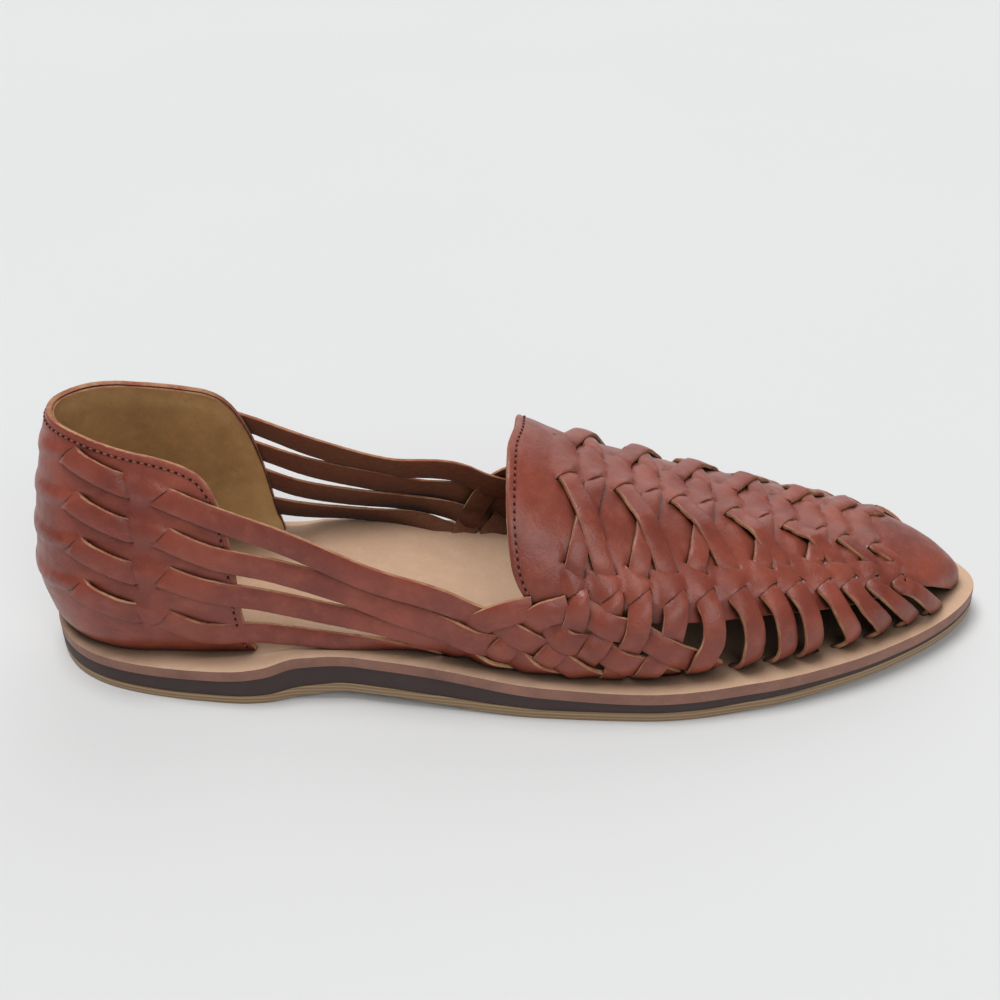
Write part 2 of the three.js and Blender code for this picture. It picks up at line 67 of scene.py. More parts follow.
PLAN = {
    "columns": ("x", "lateral", "medial"),
    "rows": (
        (0, 2, 2), (3, -13, 15.5), (8, -22.3, 24.5), (15, -29.7, 31.7), (25, -35.6, 37),
        (40, -40.2, 40.4), (55, -42.8, 41.2), (68, -44, 40.2), (75, -43.4, 39), (84, -41.4, 37.6),
        (96, -41.2, 36.2), (112, -43.6, 35.8), (130, -46.4, 37.2), (158, -50.3, 42.4),
        (190, -51.7, 47.9), (222, -46.5, 48.6), (250, -36.5, 44.2), (272, -23.8, 36.4),
        (286, -12.4, 28), (293, -4.4, 20.7), (296.4, 1.2, 15.3), (298.3, 8, 8),
    ),
}
LAYERS = {
    "columns": ("x", "top", "footbed_under", "midsole_under", "outsole_under"),
    "rows": (
        (0, 11.4, 7.6, 2.7, 0), (12, 11.4, 7.5, 2.6, 0), (55, 12, 8.1, 2.7, 0),
        (68, 12.8, 8.8, 2.8, 0), (75, 13.7, 9.6, 3, 0.1), (84, 15.7, 11.6, 4.4, 1),
        (98, 16.4, 12.5, 5.9, 2.9), (111, 16.3, 12.3, 5.8, 3), (122, 15.8, 11.7, 5.2, 2.3),
        (152, 12.4, 8.2, 3.4, 0.2), (160, 11.7, 7.5, 3.1, 0), (190, 10.6, 6.3, 3.1, 0),
        (205, 10.6, 6.3, 3.1, 0), (223, 10.9, 6.5, 3.8, 0.8), (261, 10.9, 6.4, 4.9, 2.2),
        (280, 10.6, 6.1, 4.8, 2.2), (298.3, 10.4, 5.9, 4.7, 2.1),
    ),
}
SECTIONS = {
    "columns": ("x", "lateral", "medial", "ridge_z", "ridge_y", "roundness"),
    "rows": (
        (100, -36.2, 30.6, 94.5, -1, 2.2), (126, -39.7, 31.2, 81.5, -1.5, 2.2),
        (151, -43, 35.2, 72.1, -1.5, 2.2), (170, -44.8, 38.6, 62.1, -2, 2.2),
        (190, -44.7, 41, 53.9, -1.5, 2.2), (210, -41.5, 41.6, 46.8, 0, 2.2),
        (230, -36.3, 40.2, 40.5, 2, 2.2), (250, -28.7, 36.8, 34.8, 4, 2.25),
        (265, -20.4, 32.2, 30.3, 6, 2.3), (278, -11, 25.8, 25.1, 7, 2.3),
        (287, -2.6, 18.8, 20.3, 7.5, 2.3), (291.5, 3, 12.2, 16.8, 7.5, 2.3),
        (293.3, 7.5, 7.5, 12.4, 7.5, 2.3),
    ),
}
PANEL_EDGE = {
    "columns": ("x", "lateral", "medial"),
    "rows": (
        (148, 60, 58), (155, 58.6, 57), (171, 57, 55.5), (190, 52.5, 53.5), (208, 47.5, 50),
        (227, 41.5, 44), (243, 36.8, 40), (259, 30.5, 33), (268, 25, 28), (274, 20.6, 23), (280, 17.6, 19.5),
        (285, 15.2, 16.8), (289, 13.2, 15), (291.2, 13.5, 15), (293.3, 15, 16),
    ),
}
THROAT = {
    "columns": ("girth", "x"),
    "rows": (
        (-58.4, 155.5), (-54, 152), (-48, 150), (-31, 148.8), (-10, 149.2), (5, 151), (32, 151),
        (48, 150.8), (54, 152.6), (57, 155.5),
    ),
}
# Girths of the three rows of slits: beside the ridge, below the crosses, and at the rib tops.
SLIT_ROWS = {
    "columns": ("x", "lateral_upper", "lateral_lower", "lateral_outer", "medial_upper", "medial_lower",
                "medial_outer"),
    "rows": (
        (160, 14.3, 44.6, 51.6, 5.5, 39.9, 48.8), (172, 10.3, 41.4, 48.4, 6.6, 38.5, 47.6),
        (180, 8.4, 39.3, 46.6, 7, 37.8, 47), (190, 6.9, 36.6, 44.3, 7.3, 36.9, 45.8),
        (200, 5.8, 33.2, 41.8, 7.5, 35.1, 44.2), (210, 5.1, 30.2, 38.9, 7.6, 32.8, 41.6),
        (220, 5.5, 27.3, 35.9, 7.6, 30.4, 38.6), (230, 5.8, 24.4, 32.9, 7.7, 27.6, 35.6),
        (240, 6.5, 21.4, 29.8, 7.8, 24.5, 33), (250, 7.8, 19.3, 27, 8.2, 21.5, 30),
        (260, 9.4, 16.8, 23.8, 9, 18, 26), (270, 10.8, 14, 19.9, 10, 14.5, 21.7),
    ),
}
# The twelve straps a side: x where each leaves the ridge band, where it dives again, where it comes out
# as a rib, and where it meets the footbed, or 0 where CROSS_ENDS leads it down instead. The last column is
# 1 on top of its cross, 0 under it, and 2 where it crosses no other strap.
STRAPS = {
    "columns": ("upper", "lower", "outer", "foot", "width", "over"),
    "rows": (
        (166.2, 177, 178.7, 0, 7.2, 1), (174.5, 168, 168.5, 0, 7, 0), (183.2, 195, 197.2, 0, 7.2, 1),
        (191.7, 186.7, 187, 0, 7, 0), (200, 213.5, 216, 217.5, 7, 1), (208.5, 203.9, 206.2, 0, 6.8, 0),
        (217, 230, 233.5, 236.2, 6.8, 1), (227, 224.2, 225.5, 228, 6.6, 0), (234.8, 248, 251, 259.5, 6.4, 1),
        (244.2, 240.8, 243, 249, 6.2, 0), (251.8, 259, 258.7, 269.5, 5.6, 2),
        (261.5, 268, 267.7, 279, 5.2, 2),
    ),
}

PANEL_THICKNESS = 1.5
STRAP_THICKNESS = 1.4
SLIT_OPENING = 1.15
STITCH_INSET = 2.1

# The heel counter's outer face, level by level, and its top line by the share of the way round.
COUNTER = {
    "columns": ("z", "back", "lateral", "medial", "front"),
    "rows": (
        (10, 4.6, 33, 32.6, 71.5), (13, 2.6, 34.4, 34, 71), (18, 0, 35.6, 35.4, 69.6),
        (30, -2.1, 35.4, 35.6, 68.2), (41, -1, 33, 33.4, 67.6), (52, 0.8, 30, 30.4, 66.8),
        (61, 2.7, 27, 27.4, 66), (70, 5, 24, 24.6, 65.4), (76, 6.8, 22, 22.6, 65),
        (82, 9.2, 20.2, 20.8, 65),
    ),
}
COUNTER_EDGE = {
    LATERAL: (
        (0, 80.8), (0.15, 80.2), (0.32, 79.1), (0.51, 76.6), (0.61, 75.2), (0.735, 73.4), (0.8, 72.2),
        (0.86, 70.6), (0.906, 68.6), (0.94, 65.6), (0.962, 62.2), (0.978, 57.5), (0.99, 51), (0.997, 42),
        (1, 30), (1, 10.6),
    ),
    MEDIAL: (
        (0, 80.8), (0.15, 80.2), (0.32, 79.1), (0.51, 76.6), (0.61, 75.2), (0.735, 73.6), (0.8, 72.2),
        (0.85, 69.8), (0.89, 66), (0.916, 61), (0.942, 50), (0.958, 35), (0.966, 22), (0.972, 10.6),
    ),
}
COUNTER_BOTTOM = 10.6
COUNTER_ROUND = 36.0
COUNTER_POWER = 2 / 2.15
COUNTER_FLARE = 0.045
COUNTER_AXIS = 1.2
ROUND_SHARE = 0.64
COUNTER_WIDTH = 95.0
COUNTER_LEATHER = 1.6
LINING_THICKNESS = 1.0
LACE_ROWS = 4
LACE_PITCH = 12.8
# Ends (x, z) of the cuts where each heel strap leaves the counter.
FRONT_CUTS = (
    ((44.3, 61.1), (49.9, 64.8)), ((44.2, 49.1), (49.1, 53.5)), ((43.1, 36.6), (48.8, 42.3)),
    ((42.7, 22.6), (47.3, 28.3)),
)
MIDDLE_CUT = ((36.0, 69.5), (37.4, 62.3))
BACK_CUT = ((16.5, 71.0), (21.3, 75.2))
# Each heel strap's free run as (x, y, z), from the counter to the close weave, and its width.
HEEL_RUNS = {
    LATERAL: (
        ((58, 0, 58.9, 7.2), (82.6, -31.8, 50.8, 7.3), (109.6, -38.4, 41.7, 7.5)),
        ((57.5, 0, 47, 7.4), (80, -33.2, 41.6, 7.6), (100, -36.6, 37, 8), (118, -40.6, 31.5, 8.2)),
        ((57, 0, 36.2, 7.2), (75, -34.4, 32.2, 7.2), (91, -36, 29.3, 7), (110, -39.2, 26.6, 6.6)),
        ((55, 0, 21.6, 7.2), (73, -35.2, 20.6, 6.6), (98, -37.4, 19, 5.4)),
    ),
    MEDIAL: (
        ((59, 0, 56.6, 7.2), (82, 32.2, 46.8, 7.3), (105, 34.6, 37.9, 7.5)),
        ((58, 0, 45.5, 7.4), (80, 33.4, 38.4, 7.6), (100, 35, 32.4, 8), (116, 36.4, 28, 8.2)),
        ((57, 0, 34.2, 7.2), (75, 34.6, 29.6, 7.2), (92, 34.6, 26.2, 7), (110, 36.2, 23, 6.4)),
        ((55, 0, 22.4, 7.2), (73, 35.4, 20.9, 6.6), (98, 34.6, 19, 5.2)),
    ),
}
FOOT_SLOTS = (
    131, 141, 151.5, 163.5, 175.5, 187, 196.3, 205, 217.5, 228, 238.5, 249, 259.5, 269.5, 279,
)
SLOT_LENGTH = 7.4
SLOT_WIDTH = 2.6


# ---- tables into smooth curves ----
class Curve:
    """A smooth curve through (xs, ys) that never overshoots its points."""

    def __init__(self, xs, ys):
        xs, ys = np.asarray(xs, float), np.asarray(ys, float)
        h, d = np.diff(xs), np.diff(ys) / np.diff(xs)
        slopes = np.zeros(len(xs))
        for i in range(1, len(xs) - 1):
            if d[i - 1] * d[i] > 0:
                w1, w2 = 2 * h[i] + h[i - 1], h[i] + 2 * h[i - 1]
                slopes[i] = (w1 + w2) / (w1 / d[i - 1] + w2 / d[i])
        slopes[0] = self.end_slope(h[0], h[1], d[0], d[1])
        slopes[-1] = self.end_slope(h[-1], h[-2], d[-1], d[-2])
        self.xs, self.ys, self.h, self.slopes = xs, ys, h, slopes

    @staticmethod
    def end_slope(h0, h1, d0, d1):
        slope = ((2 * h0 + h1) * d0 - h0 * d1) / (h0 + h1)
        if slope * d0 <= 0:
            return 0.0
        return 3 * d0 if abs(slope) > 3 * abs(d0) else slope

    def __call__(self, x):
        t = np.clip(x, self.xs[0], self.xs[-1])
        i = np.clip(np.searchsorted(self.xs, t, side="right") - 1, 0, len(self.h) - 1)
        h = self.h[i]
        s = (t - self.xs[i]) / h
        start = (1 + 2 * s) * (1 - s) ** 2 * self.ys[i] + s * s * (3 - 2 * s) * self.ys[i + 1]
        return start + s * (1 - s) ** 2 * h * self.slopes[i] - s * s * (1 - s) * h * self.slopes[i + 1]


def rounded(x, length):
    """x taken round a half circle, so that a curve over it ends bluntly."""
    return np.arccos(np.clip(1 - 2 * np.asarray(x, float) / length, -1, 1)) / math.pi


def column(table, name, length=0.0):
    """One named column of a table as a smooth curve over its first column."""
    index = table["columns"].index(name)
    keys = [row[0] for row in table["rows"]]
    values = [row[index] for row in table["rows"]]
    if length:
        curve = Curve(rounded(keys, length), values)
        return lambda x: curve(rounded(x, length))
    return Curve(keys, values)


def rows_of(table):
    return [dict(zip(table["columns"], row)) for row in table["rows"]]


sole_lateral = column(PLAN, "lateral", SOLE_LENGTH)
sole_medial = column(PLAN, "medial", SOLE_LENGTH)
layer = {name: column(LAYERS, name) for name in LAYERS["columns"][1:]}
section = {name: column(SECTIONS, name, TIP_X) for name in SECTIONS["columns"][1:]}


# ---- the last's surface over the forefoot ----
def section_point(x, degrees):
    """Points on the vamp's face at x, at an angle from -28 on the lateral foot to 208 on the medial."""
    x, angle = np.broadcast_arrays(np.asarray(x, float), np.radians(degrees))
    c, s = np.cos(angle), np.sin(angle)
    ridge_z, ridge_y = section["ridge_z"](x), section["ridge_y"](x)
    power = 2 / section["roundness"](x)
    bulge = SIDE_BULGE * np.clip((TIP_X - x) / 12, 0, 1)
    half = np.where(c > 0, ridge_y - section["lateral"](x) + bulge, section["medial"](x) + bulge - ridge_y)
    floor = layer["top"](x)
    widest = floor + np.minimum(WIDEST_ABOVE_FOOTBED, 0.35 * (ridge_z - floor))
    y = ridge_y - np.sign(c) * half * np.abs(c) ** power
    low = math.sin(math.radians(LOW_ANGLE))
    up = widest + (ridge_z - widest) * np.abs(s) ** power
    z = np.where(s >= 0, up, widest - (widest - floor) * s / low)
    return np.stack([x, y, z], axis=-1)


class VampSurface:
    """The vamp's face as a function of x and girth."""

    GIRTH_REACH = 110.0
    GIRTH_STEP = 0.5

    def __init__(self):
        self.keys = np.linspace(rounded(100, TIP_X), 0.999, 500)
        xs = TIP_X * (1 - np.cos(self.keys * math.pi)) / 2
        degrees = np.arange(LOW_ANGLE - 15, 180 - LOW_ANGLE + 15.1, 1.0)
        points = section_point(xs[:, None], degrees[None, :])
        steps = np.linalg.norm(np.diff(points, axis=1), axis=2)
        girth = np.concatenate([np.zeros((len(xs), 1)), np.cumsum(steps, axis=1)], axis=1)
        ridge = int(np.argmin(np.abs(degrees - 90)))
        girth -= girth[:, ridge : ridge + 1]
        self.columns = np.arange(-self.GIRTH_REACH, self.GIRTH_REACH + 0.1, self.GIRTH_STEP)
        self.angles = np.array([np.interp(self.columns, g, degrees) for g in girth])
        self.base_lateral = Curve(xs, [np.interp(LOW_ANGLE, degrees, g) for g in girth])
        self.base_medial = Curve(xs, [np.interp(180 - LOW_ANGLE, degrees, g) for g in girth])
        ridge_points = points[:, ridge]
        lengths = np.concatenate([[0], np.cumsum(np.linalg.norm(np.diff(ridge_points, axis=0), axis=1))])
        self.ridge_xs, self.ridge_lengths = xs, lengths

    def angle(self, x, girth):
        x, girth = np.broadcast_arrays(np.asarray(x, float), np.asarray(girth, float))
        key_step = self.keys[1] - self.keys[0]
        row = np.clip((rounded(x, TIP_X) - self.keys[0]) / key_step, 0, len(self.keys) - 1.001)
        col = np.clip((girth + self.GIRTH_REACH) / self.GIRTH_STEP, 0, len(self.columns) - 1.001)
        i, j = row.astype(int), col.astype(int)
        a, b = row - i, col - j
        grid = self.angles
        top = grid[i, j] * (1 - b) + grid[i, j + 1] * b
        return top * (1 - a) + (grid[i + 1, j] * (1 - b) + grid[i + 1, j + 1] * b) * a

    def point(self, x, girth):
        return section_point(np.clip(x, 100, TIP_X - 0.02), self.angle(x, girth))

    def normal(self, x, girth):
        x = np.clip(np.asarray(x, float), 100, TIP_X - 0.3)
        angle = self.angle(x, girth)
        along = section_point(x + 0.2, angle) - section_point(x - 0.2, angle)
        across = section_point(x, angle + 0.7) - section_point(x, angle - 0.7)
        normal = np.cross(along, across)
        normal /= np.maximum(np.linalg.norm(normal, axis=-1, keepdims=True), 1e-9)
        return normal

    def base(self, x, side):
        """Girth where the face meets the footbed."""
        return (self.base_lateral if side < 0 else self.base_medial)(x)

    def run(self, x):
        """Distance along the ridge."""
        return np.interp(x, self.ridge_xs, self.ridge_lengths)

    def at_run(self, run):
        return np.interp(run, self.ridge_lengths, self.ridge_xs)


vamp = VampSurface()


# ---- meshes ----
GRAIN, RAW, FLESH = 0, 1, 2


def unit(v):
    return v / np.maximum(np.linalg.norm(v, axis=-1, keepdims=True), 1e-9)


def wobble(points, pitch, seed=0.0):
    """A smooth number from -1 to 1 for each point, the same each run."""
    p = np.asarray(points, float) / pitch
    x, y, z = p[..., 0], p[..., 1], p[..., 2]
    total = np.sin(x * 1.7 + 1.3 * y + seed) + np.sin(2.3 * y - 1.1 * z + 2.1 * seed)
    return (total + np.sin(1.9 * z + 0.7 * x + 1.7 * seed) + np.sin(2.9 * x - 2.3 * z + 0.4 * seed)) / 4


class Shell:
    """Collects vertices and faces, each face with the side of the leather that it shows."""

    def __init__(self):
        self.points, self.faces, self.sides, self.count = [], [], [], 0

    def add(self, points, faces, sides):
        self.points.append(np.asarray(points, float))
        self.faces.extend([tuple(int(v) + self.count for v in face) for face in faces])
        self.sides.extend(sides)
        self.count += len(points)

    def build(self, name, materials, replaces, sharp=48.0):
        points = (np.concatenate(self.points) + ORIGIN) / 1000.0
        mesh = bpy.data.meshes.new(name)
        mesh.from_pydata(points.tolist(), [], self.faces)
        for material in materials:
            mesh.materials.append(material)
        mesh.polygons.foreach_set("material_index", np.asarray(self.sides, dtype=np.int32))
        mesh.validate()
        mesh.shade_smooth()
        mesh.set_sharp_from_angle(angle=math.radians(sharp))
        mesh.update()
        piece = bpy.data.objects.new(name, mesh)
        bpy.context.scene.collection.objects.link(piece)
        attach(piece, "root")
        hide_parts(*replaces)
        return piece


def inside(points, loop):
    """Which of the points lie inside a closed loop."""
    loop = np.asarray(loop)
    x, y = points[:, 0], points[:, 1]
    result = np.zeros(len(points), bool)
    for (x0, y0), (x1, y1) in zip(loop, np.roll(loop, -1, axis=0)):
        crosses = (y0 > y) != (y1 > y)
        where = np.where(crosses, (x1 - x0) * (y - y0) / np.where(y1 == y0, 1e-9, y1 - y0) + x0, 0)
        result ^= crosses & (x < where)
    return result


def resample(points, spacing, closed=True):
    points = np.asarray(points, float)
    if closed:
        points = np.vstack([points, points[:1]])
    lengths = np.concatenate([[0], np.cumsum(np.linalg.norm(np.diff(points, axis=0), axis=1))])
    count = max(int(round(lengths[-1] / spacing)), 3)
    at = np.linspace(0, lengths[-1], count + 1)
    if closed:
        at = at[:-1]
    return np.stack([np.interp(at, lengths, points[:, k]) for k in range(points.shape[1])], axis=1)


def distance_to(points, loop):
    """Distance of each point from the nearest point of a finely spaced loop."""
    best = np.full(len(points), 1e9)
    for start in range(0, len(loop), 64):
        block = np.asarray(loop)[start : start + 64]
        d = np.linalg.norm(points[:, None, :] - block[None, :, :], axis=2).min(axis=1)
        best = np.minimum(best, d)
    return best


def triangulate(outline, holes, spacing, rings=(0.35,)):
    """A net of near-even triangles over a flat outline with holes."""
    loops = [np.asarray(outline)] + [np.asarray(hole) for hole in holes]
    low, high = loops[0].min(axis=0), loops[0].max(axis=0)
    row_gap = spacing * math.sqrt(3) / 2
    rows = np.arange(low[1] + row_gap / 2, high[1], row_gap)
    points = []
    for k, y in enumerate(rows):
        xs = np.arange(low[0] + (spacing / 2 if k % 2 else 0.0), high[0], spacing)
        points.append(np.stack([xs, np.full(len(xs), y)], axis=1))
    points = np.concatenate(points)
    fine = np.concatenate([resample(loop, 0.4) for loop in loops])
    near = distance_to(points, fine)
    clearance = (rings[-1] if rings else 0) + 0.45 * spacing
    points = points[(near > clearance) & inside(points, loops[0])]
    for hole in loops[1:]:
        points = points[~inside(points, hole)]
    extra = []
    for ring in rings:
        for loop in loops:
            ahead, behind = np.roll(loop, -1, axis=0), np.roll(loop, 1, axis=0)
            along = unit(ahead - behind)
            across = np.stack([-along[:, 1], along[:, 0]], axis=1)
            for sign in (1, -1):
                moved = loop + sign * ring * across
                clear = distance_to(moved, fine) > ring * 0.9
                keep = clear & inside(moved, loops[0])
                for hole in loops[1:]:
                    keep &= ~inside(moved, hole)
                extra.append(moved[keep])
    points = np.concatenate([points] + extra) if extra else points
    verts, edges = [], []
    for loop in loops:
        start = len(verts)
        verts.extend([Vector(p) for p in loop.tolist()])
        edges.extend([(start + i, start + (i + 1) % len(loop)) for i in range(len(loop))])
    verts.extend([Vector(p) for p in points.tolist()])
    out = delaunay_2d_cdt(verts, edges, [], 0, 1e-5, False)
    flat = np.array([tuple(v) for v in out[0]])
    faces = np.array([f for f in out[2] if len(f) == 3])
    a, b, c = flat[faces[:, 0]], flat[faces[:, 1]], flat[faces[:, 2]]
    centres = (a + b + c) / 3
    area = (b[:, 0] - a[:, 0]) * (c[:, 1] - a[:, 1]) - (b[:, 1] - a[:, 1]) * (c[:, 0] - a[:, 0])
    keep = inside(centres, loops[0]) & (np.abs(area) > 1e-7)
    for hole in loops[1:]:
        keep &= ~inside(centres, hole)
    faces, area = faces[keep], area[keep]
    faces[area < 0] = faces[area < 0][:, ::-1]
    used = np.unique(faces)
    renumber = np.zeros(len(flat), int)
    renumber[used] = np.arange(len(used))
    return flat[used], renumber[faces]


def border_edges(faces):
    """Directed edges that only one triangle has."""
    seen = {}
    for a, b, c in faces:
        for edge in ((a, b), (b, c), (c, a)):
            seen[edge] = True
    return [edge for edge in seen if (edge[1], edge[0]) not in seen]


# How the cut edge of a sheet bulges: share of the thickness, and how far it stands out.
EDGE_PROFILE = ((0.16, 0.10), (0.5, 0.16), (0.84, 0.10))


def sheet(shell, flat, faces, outer, inner, sides=(GRAIN, RAW, FLESH), profile=EDGE_PROFILE, rough=0.05):
    """Closes two matching skins over a flat net with a slightly round cut edge."""
    count = len(flat)
    border = border_edges(faces)
    ring = sorted({v for edge in border for v in edge})
    place = {v: k for k, v in enumerate(ring)}
    normal = unit(outer - inner)
    out = np.zeros((count, 3))
    for a, b in border:
        along = outer[b] - outer[a]
        away = np.cross(along, normal[a])
        out[a] += away
        out[b] += away
    out = unit(out)
    points = [outer, inner]
    for share, bulge in profile:
        middle = outer[ring] * (1 - share) + inner[ring] * share
        fray = rough * wobble(middle, 0.9, share * 9)
        points.append(middle + out[ring] * (bulge + fray)[:, None])
    levels = len(profile)

    def at(level, v):
        if level == 0:
            return v
        if level == levels + 1:
            return count + v
        return 2 * count + (level - 1) * len(ring) + place[v]

    solid = [tuple(f) for f in faces] + [tuple(count + v for v in f[::-1]) for f in faces]
    marks = [sides[0]] * len(faces) + [sides[2]] * len(faces)
    for a, b in border:
        for level in range(levels + 1):
            solid.append((at(level, b), at(level, a), at(level + 1, a), at(level + 1, b)))
            marks.append(sides[1])
    shell.add(np.concatenate(points), solid, marks)


def smooth_path(nodes, count):
    """A curve through the nodes with even steps; every column of the nodes is carried along."""
    nodes = np.asarray(nodes, float)
    reach = min(3, nodes.shape[1])
    lengths = np.concatenate([[0], np.cumsum(np.linalg.norm(np.diff(nodes[:, :reach], axis=0), axis=1))])
    if len(nodes) == 2:
        at = np.linspace(0, 1, count)[:, None]
        return nodes[0] * (1 - at) + nodes[1] * at
    tangent = np.gradient(nodes, lengths, axis=0)
    at = np.linspace(0, lengths[-1], count)
    i = np.clip(np.searchsorted(lengths, at, side="right") - 1, 0, len(nodes) - 2)
    h = (lengths[i + 1] - lengths[i])[:, None]
    s = (at - lengths[i])[:, None] / h
    start = (1 + 2 * s) * (1 - s) ** 2 * nodes[i] + s * s * (3 - 2 * s) * nodes[i + 1]
    return start + s * (1 - s) ** 2 * h * tangent[i] - s * s * (1 - s) * h * tangent[i + 1]


def ribbon(shell, centres, normals, widths, lifts=0.0, skews=0.0, rolls=0.0, arches=0.0,
           thickness=STRAP_THICKNESS, crown=0.16, seed=0.0, corner=0.3):
    """A leather strap along a path: grain side out, raw edges, flesh side in.

    The skew turns the lift's steps square to the cuts that the strap passes through.
    """
    centres = np.asarray(centres, float)
    lifts = np.broadcast_to(np.asarray(lifts, float), (len(centres),))
    lengths = np.concatenate([[0], np.cumsum(np.linalg.norm(np.diff(centres, axis=0), axis=1))])
    widths = np.broadcast_to(np.asarray(widths, float), (len(centres),))
    tangent = unit(np.gradient(centres, axis=0))
    normal = unit(normals - (normals * tangent).sum(axis=1, keepdims=True) * tangent)
    across = np.cross(normal, tangent)
    turn = np.broadcast_to(np.asarray(rolls, float), (len(centres),))[:, None]
    turned = normal * np.cos(turn) - across * np.sin(turn)
    across = across * np.cos(turn) + normal * np.sin(turn)
    normal = turned
    half, h, r = widths / 2, thickness / 2, corner
    one = np.ones(len(centres))
    profile = [
        (-half + r, h * one), (-half / 2, (h + 0.75 * crown) * one), (0 * half, (h + crown) * one),
        (half / 2, (h + 0.75 * crown) * one), (half - r, h * one), (half - 0.3 * r, (h - 0.3 * r) * one),
        (half, (h - r) * one), (half + 0.05, 0 * one), (half, (-h + 0.15) * one),
        (half - 0.2, -h * one), (0 * half, (-h - 0.3 * crown) * one), (-half + 0.2, -h * one),
        (-half, (-h + 0.15) * one), (-half - 0.05, 0 * one), (-half, (h - r) * one),
        (-half + 0.3 * r, (h - 0.3 * r) * one),
    ]
    rings = []
    for k, (b, n) in enumerate(profile):
        lift = np.interp(lengths - b * skews, lengths, lifts) + arches * (0.35 - np.abs(b / half) ** 1.5)
        point = centres + across * b[:, None] + normal * (n + lift)[:, None]
        if 5 <= k <= 8 or k >= 11:
            fray = 0.07 * wobble(point, 0.8, seed + k) + 0.05 * wobble(point, 2.6, seed)
            point = point + across * (np.sign(b) * fray)[:, None]
        rings.append(point)
    grid = np.stack(rings, axis=1)
    size = len(profile)
    faces, marks = [], []
    for i in range(len(centres) - 1):
        for k in range(size):
            n = (k + 1) % size
            a, b = i * size, (i + 1) * size
            faces.append((a + k, b + k, b + n, a + n))
            marks.append(RAW if k in (5, 6, 7, 12, 13, 14) else FLESH if 8 <= k <= 11 else GRAIN)
    last = (len(centres) - 1) * size
    faces.append(tuple(range(size)))
    faces.append(tuple(last + k for k in reversed(range(size))))
    marks += [RAW, RAW]
    shell.add(grid.reshape(-1, 3), faces, marks)


def skewed(nodes, flat):
    """Nodes of (x, y, lift, cut direction or None) with the direction made into the strap's skew there."""
    places = np.array([flat(node[0], node[1]) for node in nodes])
    lengths = np.concatenate([[0], np.cumsum(np.linalg.norm(np.diff(places, axis=0), axis=1))])
    known = [(0.0, 0.0)]
    for k, node in enumerate(nodes):
        if node[3] is not None and 0 < k < len(nodes) - 1:
            heading = unit(places[k + 1] - places[k - 1])
            across = np.array([-heading[1], heading[0]])
            skew = float(np.dot(node[3], heading) / np.dot(node[3], across))
            known.append((float(lengths[k]), max(-1.4, min(1.4, skew))))
    known.append((float(lengths[-1]), 0.0))
    at, skews = zip(*known)
    return [(*node[:3], float(np.interp(length, at, skews))) for node, length in zip(nodes, lengths)]


def surface_ribbon(shell, nodes, width, seed=0.0, count=40, roll=None, arch=0.0):
    """A strap over the vamp through nodes of (x, girth, lift of its middle, cut direction or None)."""
    nodes = skewed(nodes, lambda x, girth: (float(vamp.run(x)), girth))
    path = smooth_path(np.asarray(nodes, float), count)
    x, girth = path[:, 0], path[:, 1]
    widths = width(x, girth) if callable(width) else width
    rolls = roll(x, girth) if roll else 0.0
    arches = arch(x, girth) if callable(arch) else arch
    ribbon(shell, vamp.point(x, girth), vamp.normal(x, girth), widths, path[:, 2], path[:, 3], rolls, arches,
           seed=seed)


# ---- tunnels: where a strap runs under the leather and lifts it ----
class Slit:
    """A cut in a sheet: its middle, its direction and half its length, on the flat."""

    def __init__(self, centre, direction, half):
        self.centre = np.asarray(centre, float)
        self.direction = unit(np.asarray(direction, float))
        self.half = half

    def hole(self, opening=SLIT_OPENING, steps=9):
        share = np.linspace(-1, 1, steps)
        width = opening / 2 * np.sqrt(np.clip(1 - share**2, 0, 1)) ** 0.8
        across = np.array([-self.direction[1], self.direction[0]])
        spine = self.centre + self.direction * (share * self.half)[:, None]
        return np.concatenate([spine + across * width[:, None], (spine - across * width[:, None])[-2:0:-1]])


def cross2(a, b):
    return a[..., 0] * b[..., 1] - a[..., 1] * b[..., 0]


def plateau(side, half):
    """1 over the middle of a strap, falling smoothly to 0 beyond its edges."""
    return np.clip(1 - np.abs(side / half) ** 2.6, 0, 1) ** 1.15


def tent(side, half):
    """Like plateau, but folded to a ridge along the middle."""
    return np.clip(1 - np.abs(side / half), 0, 1) ** 0.85


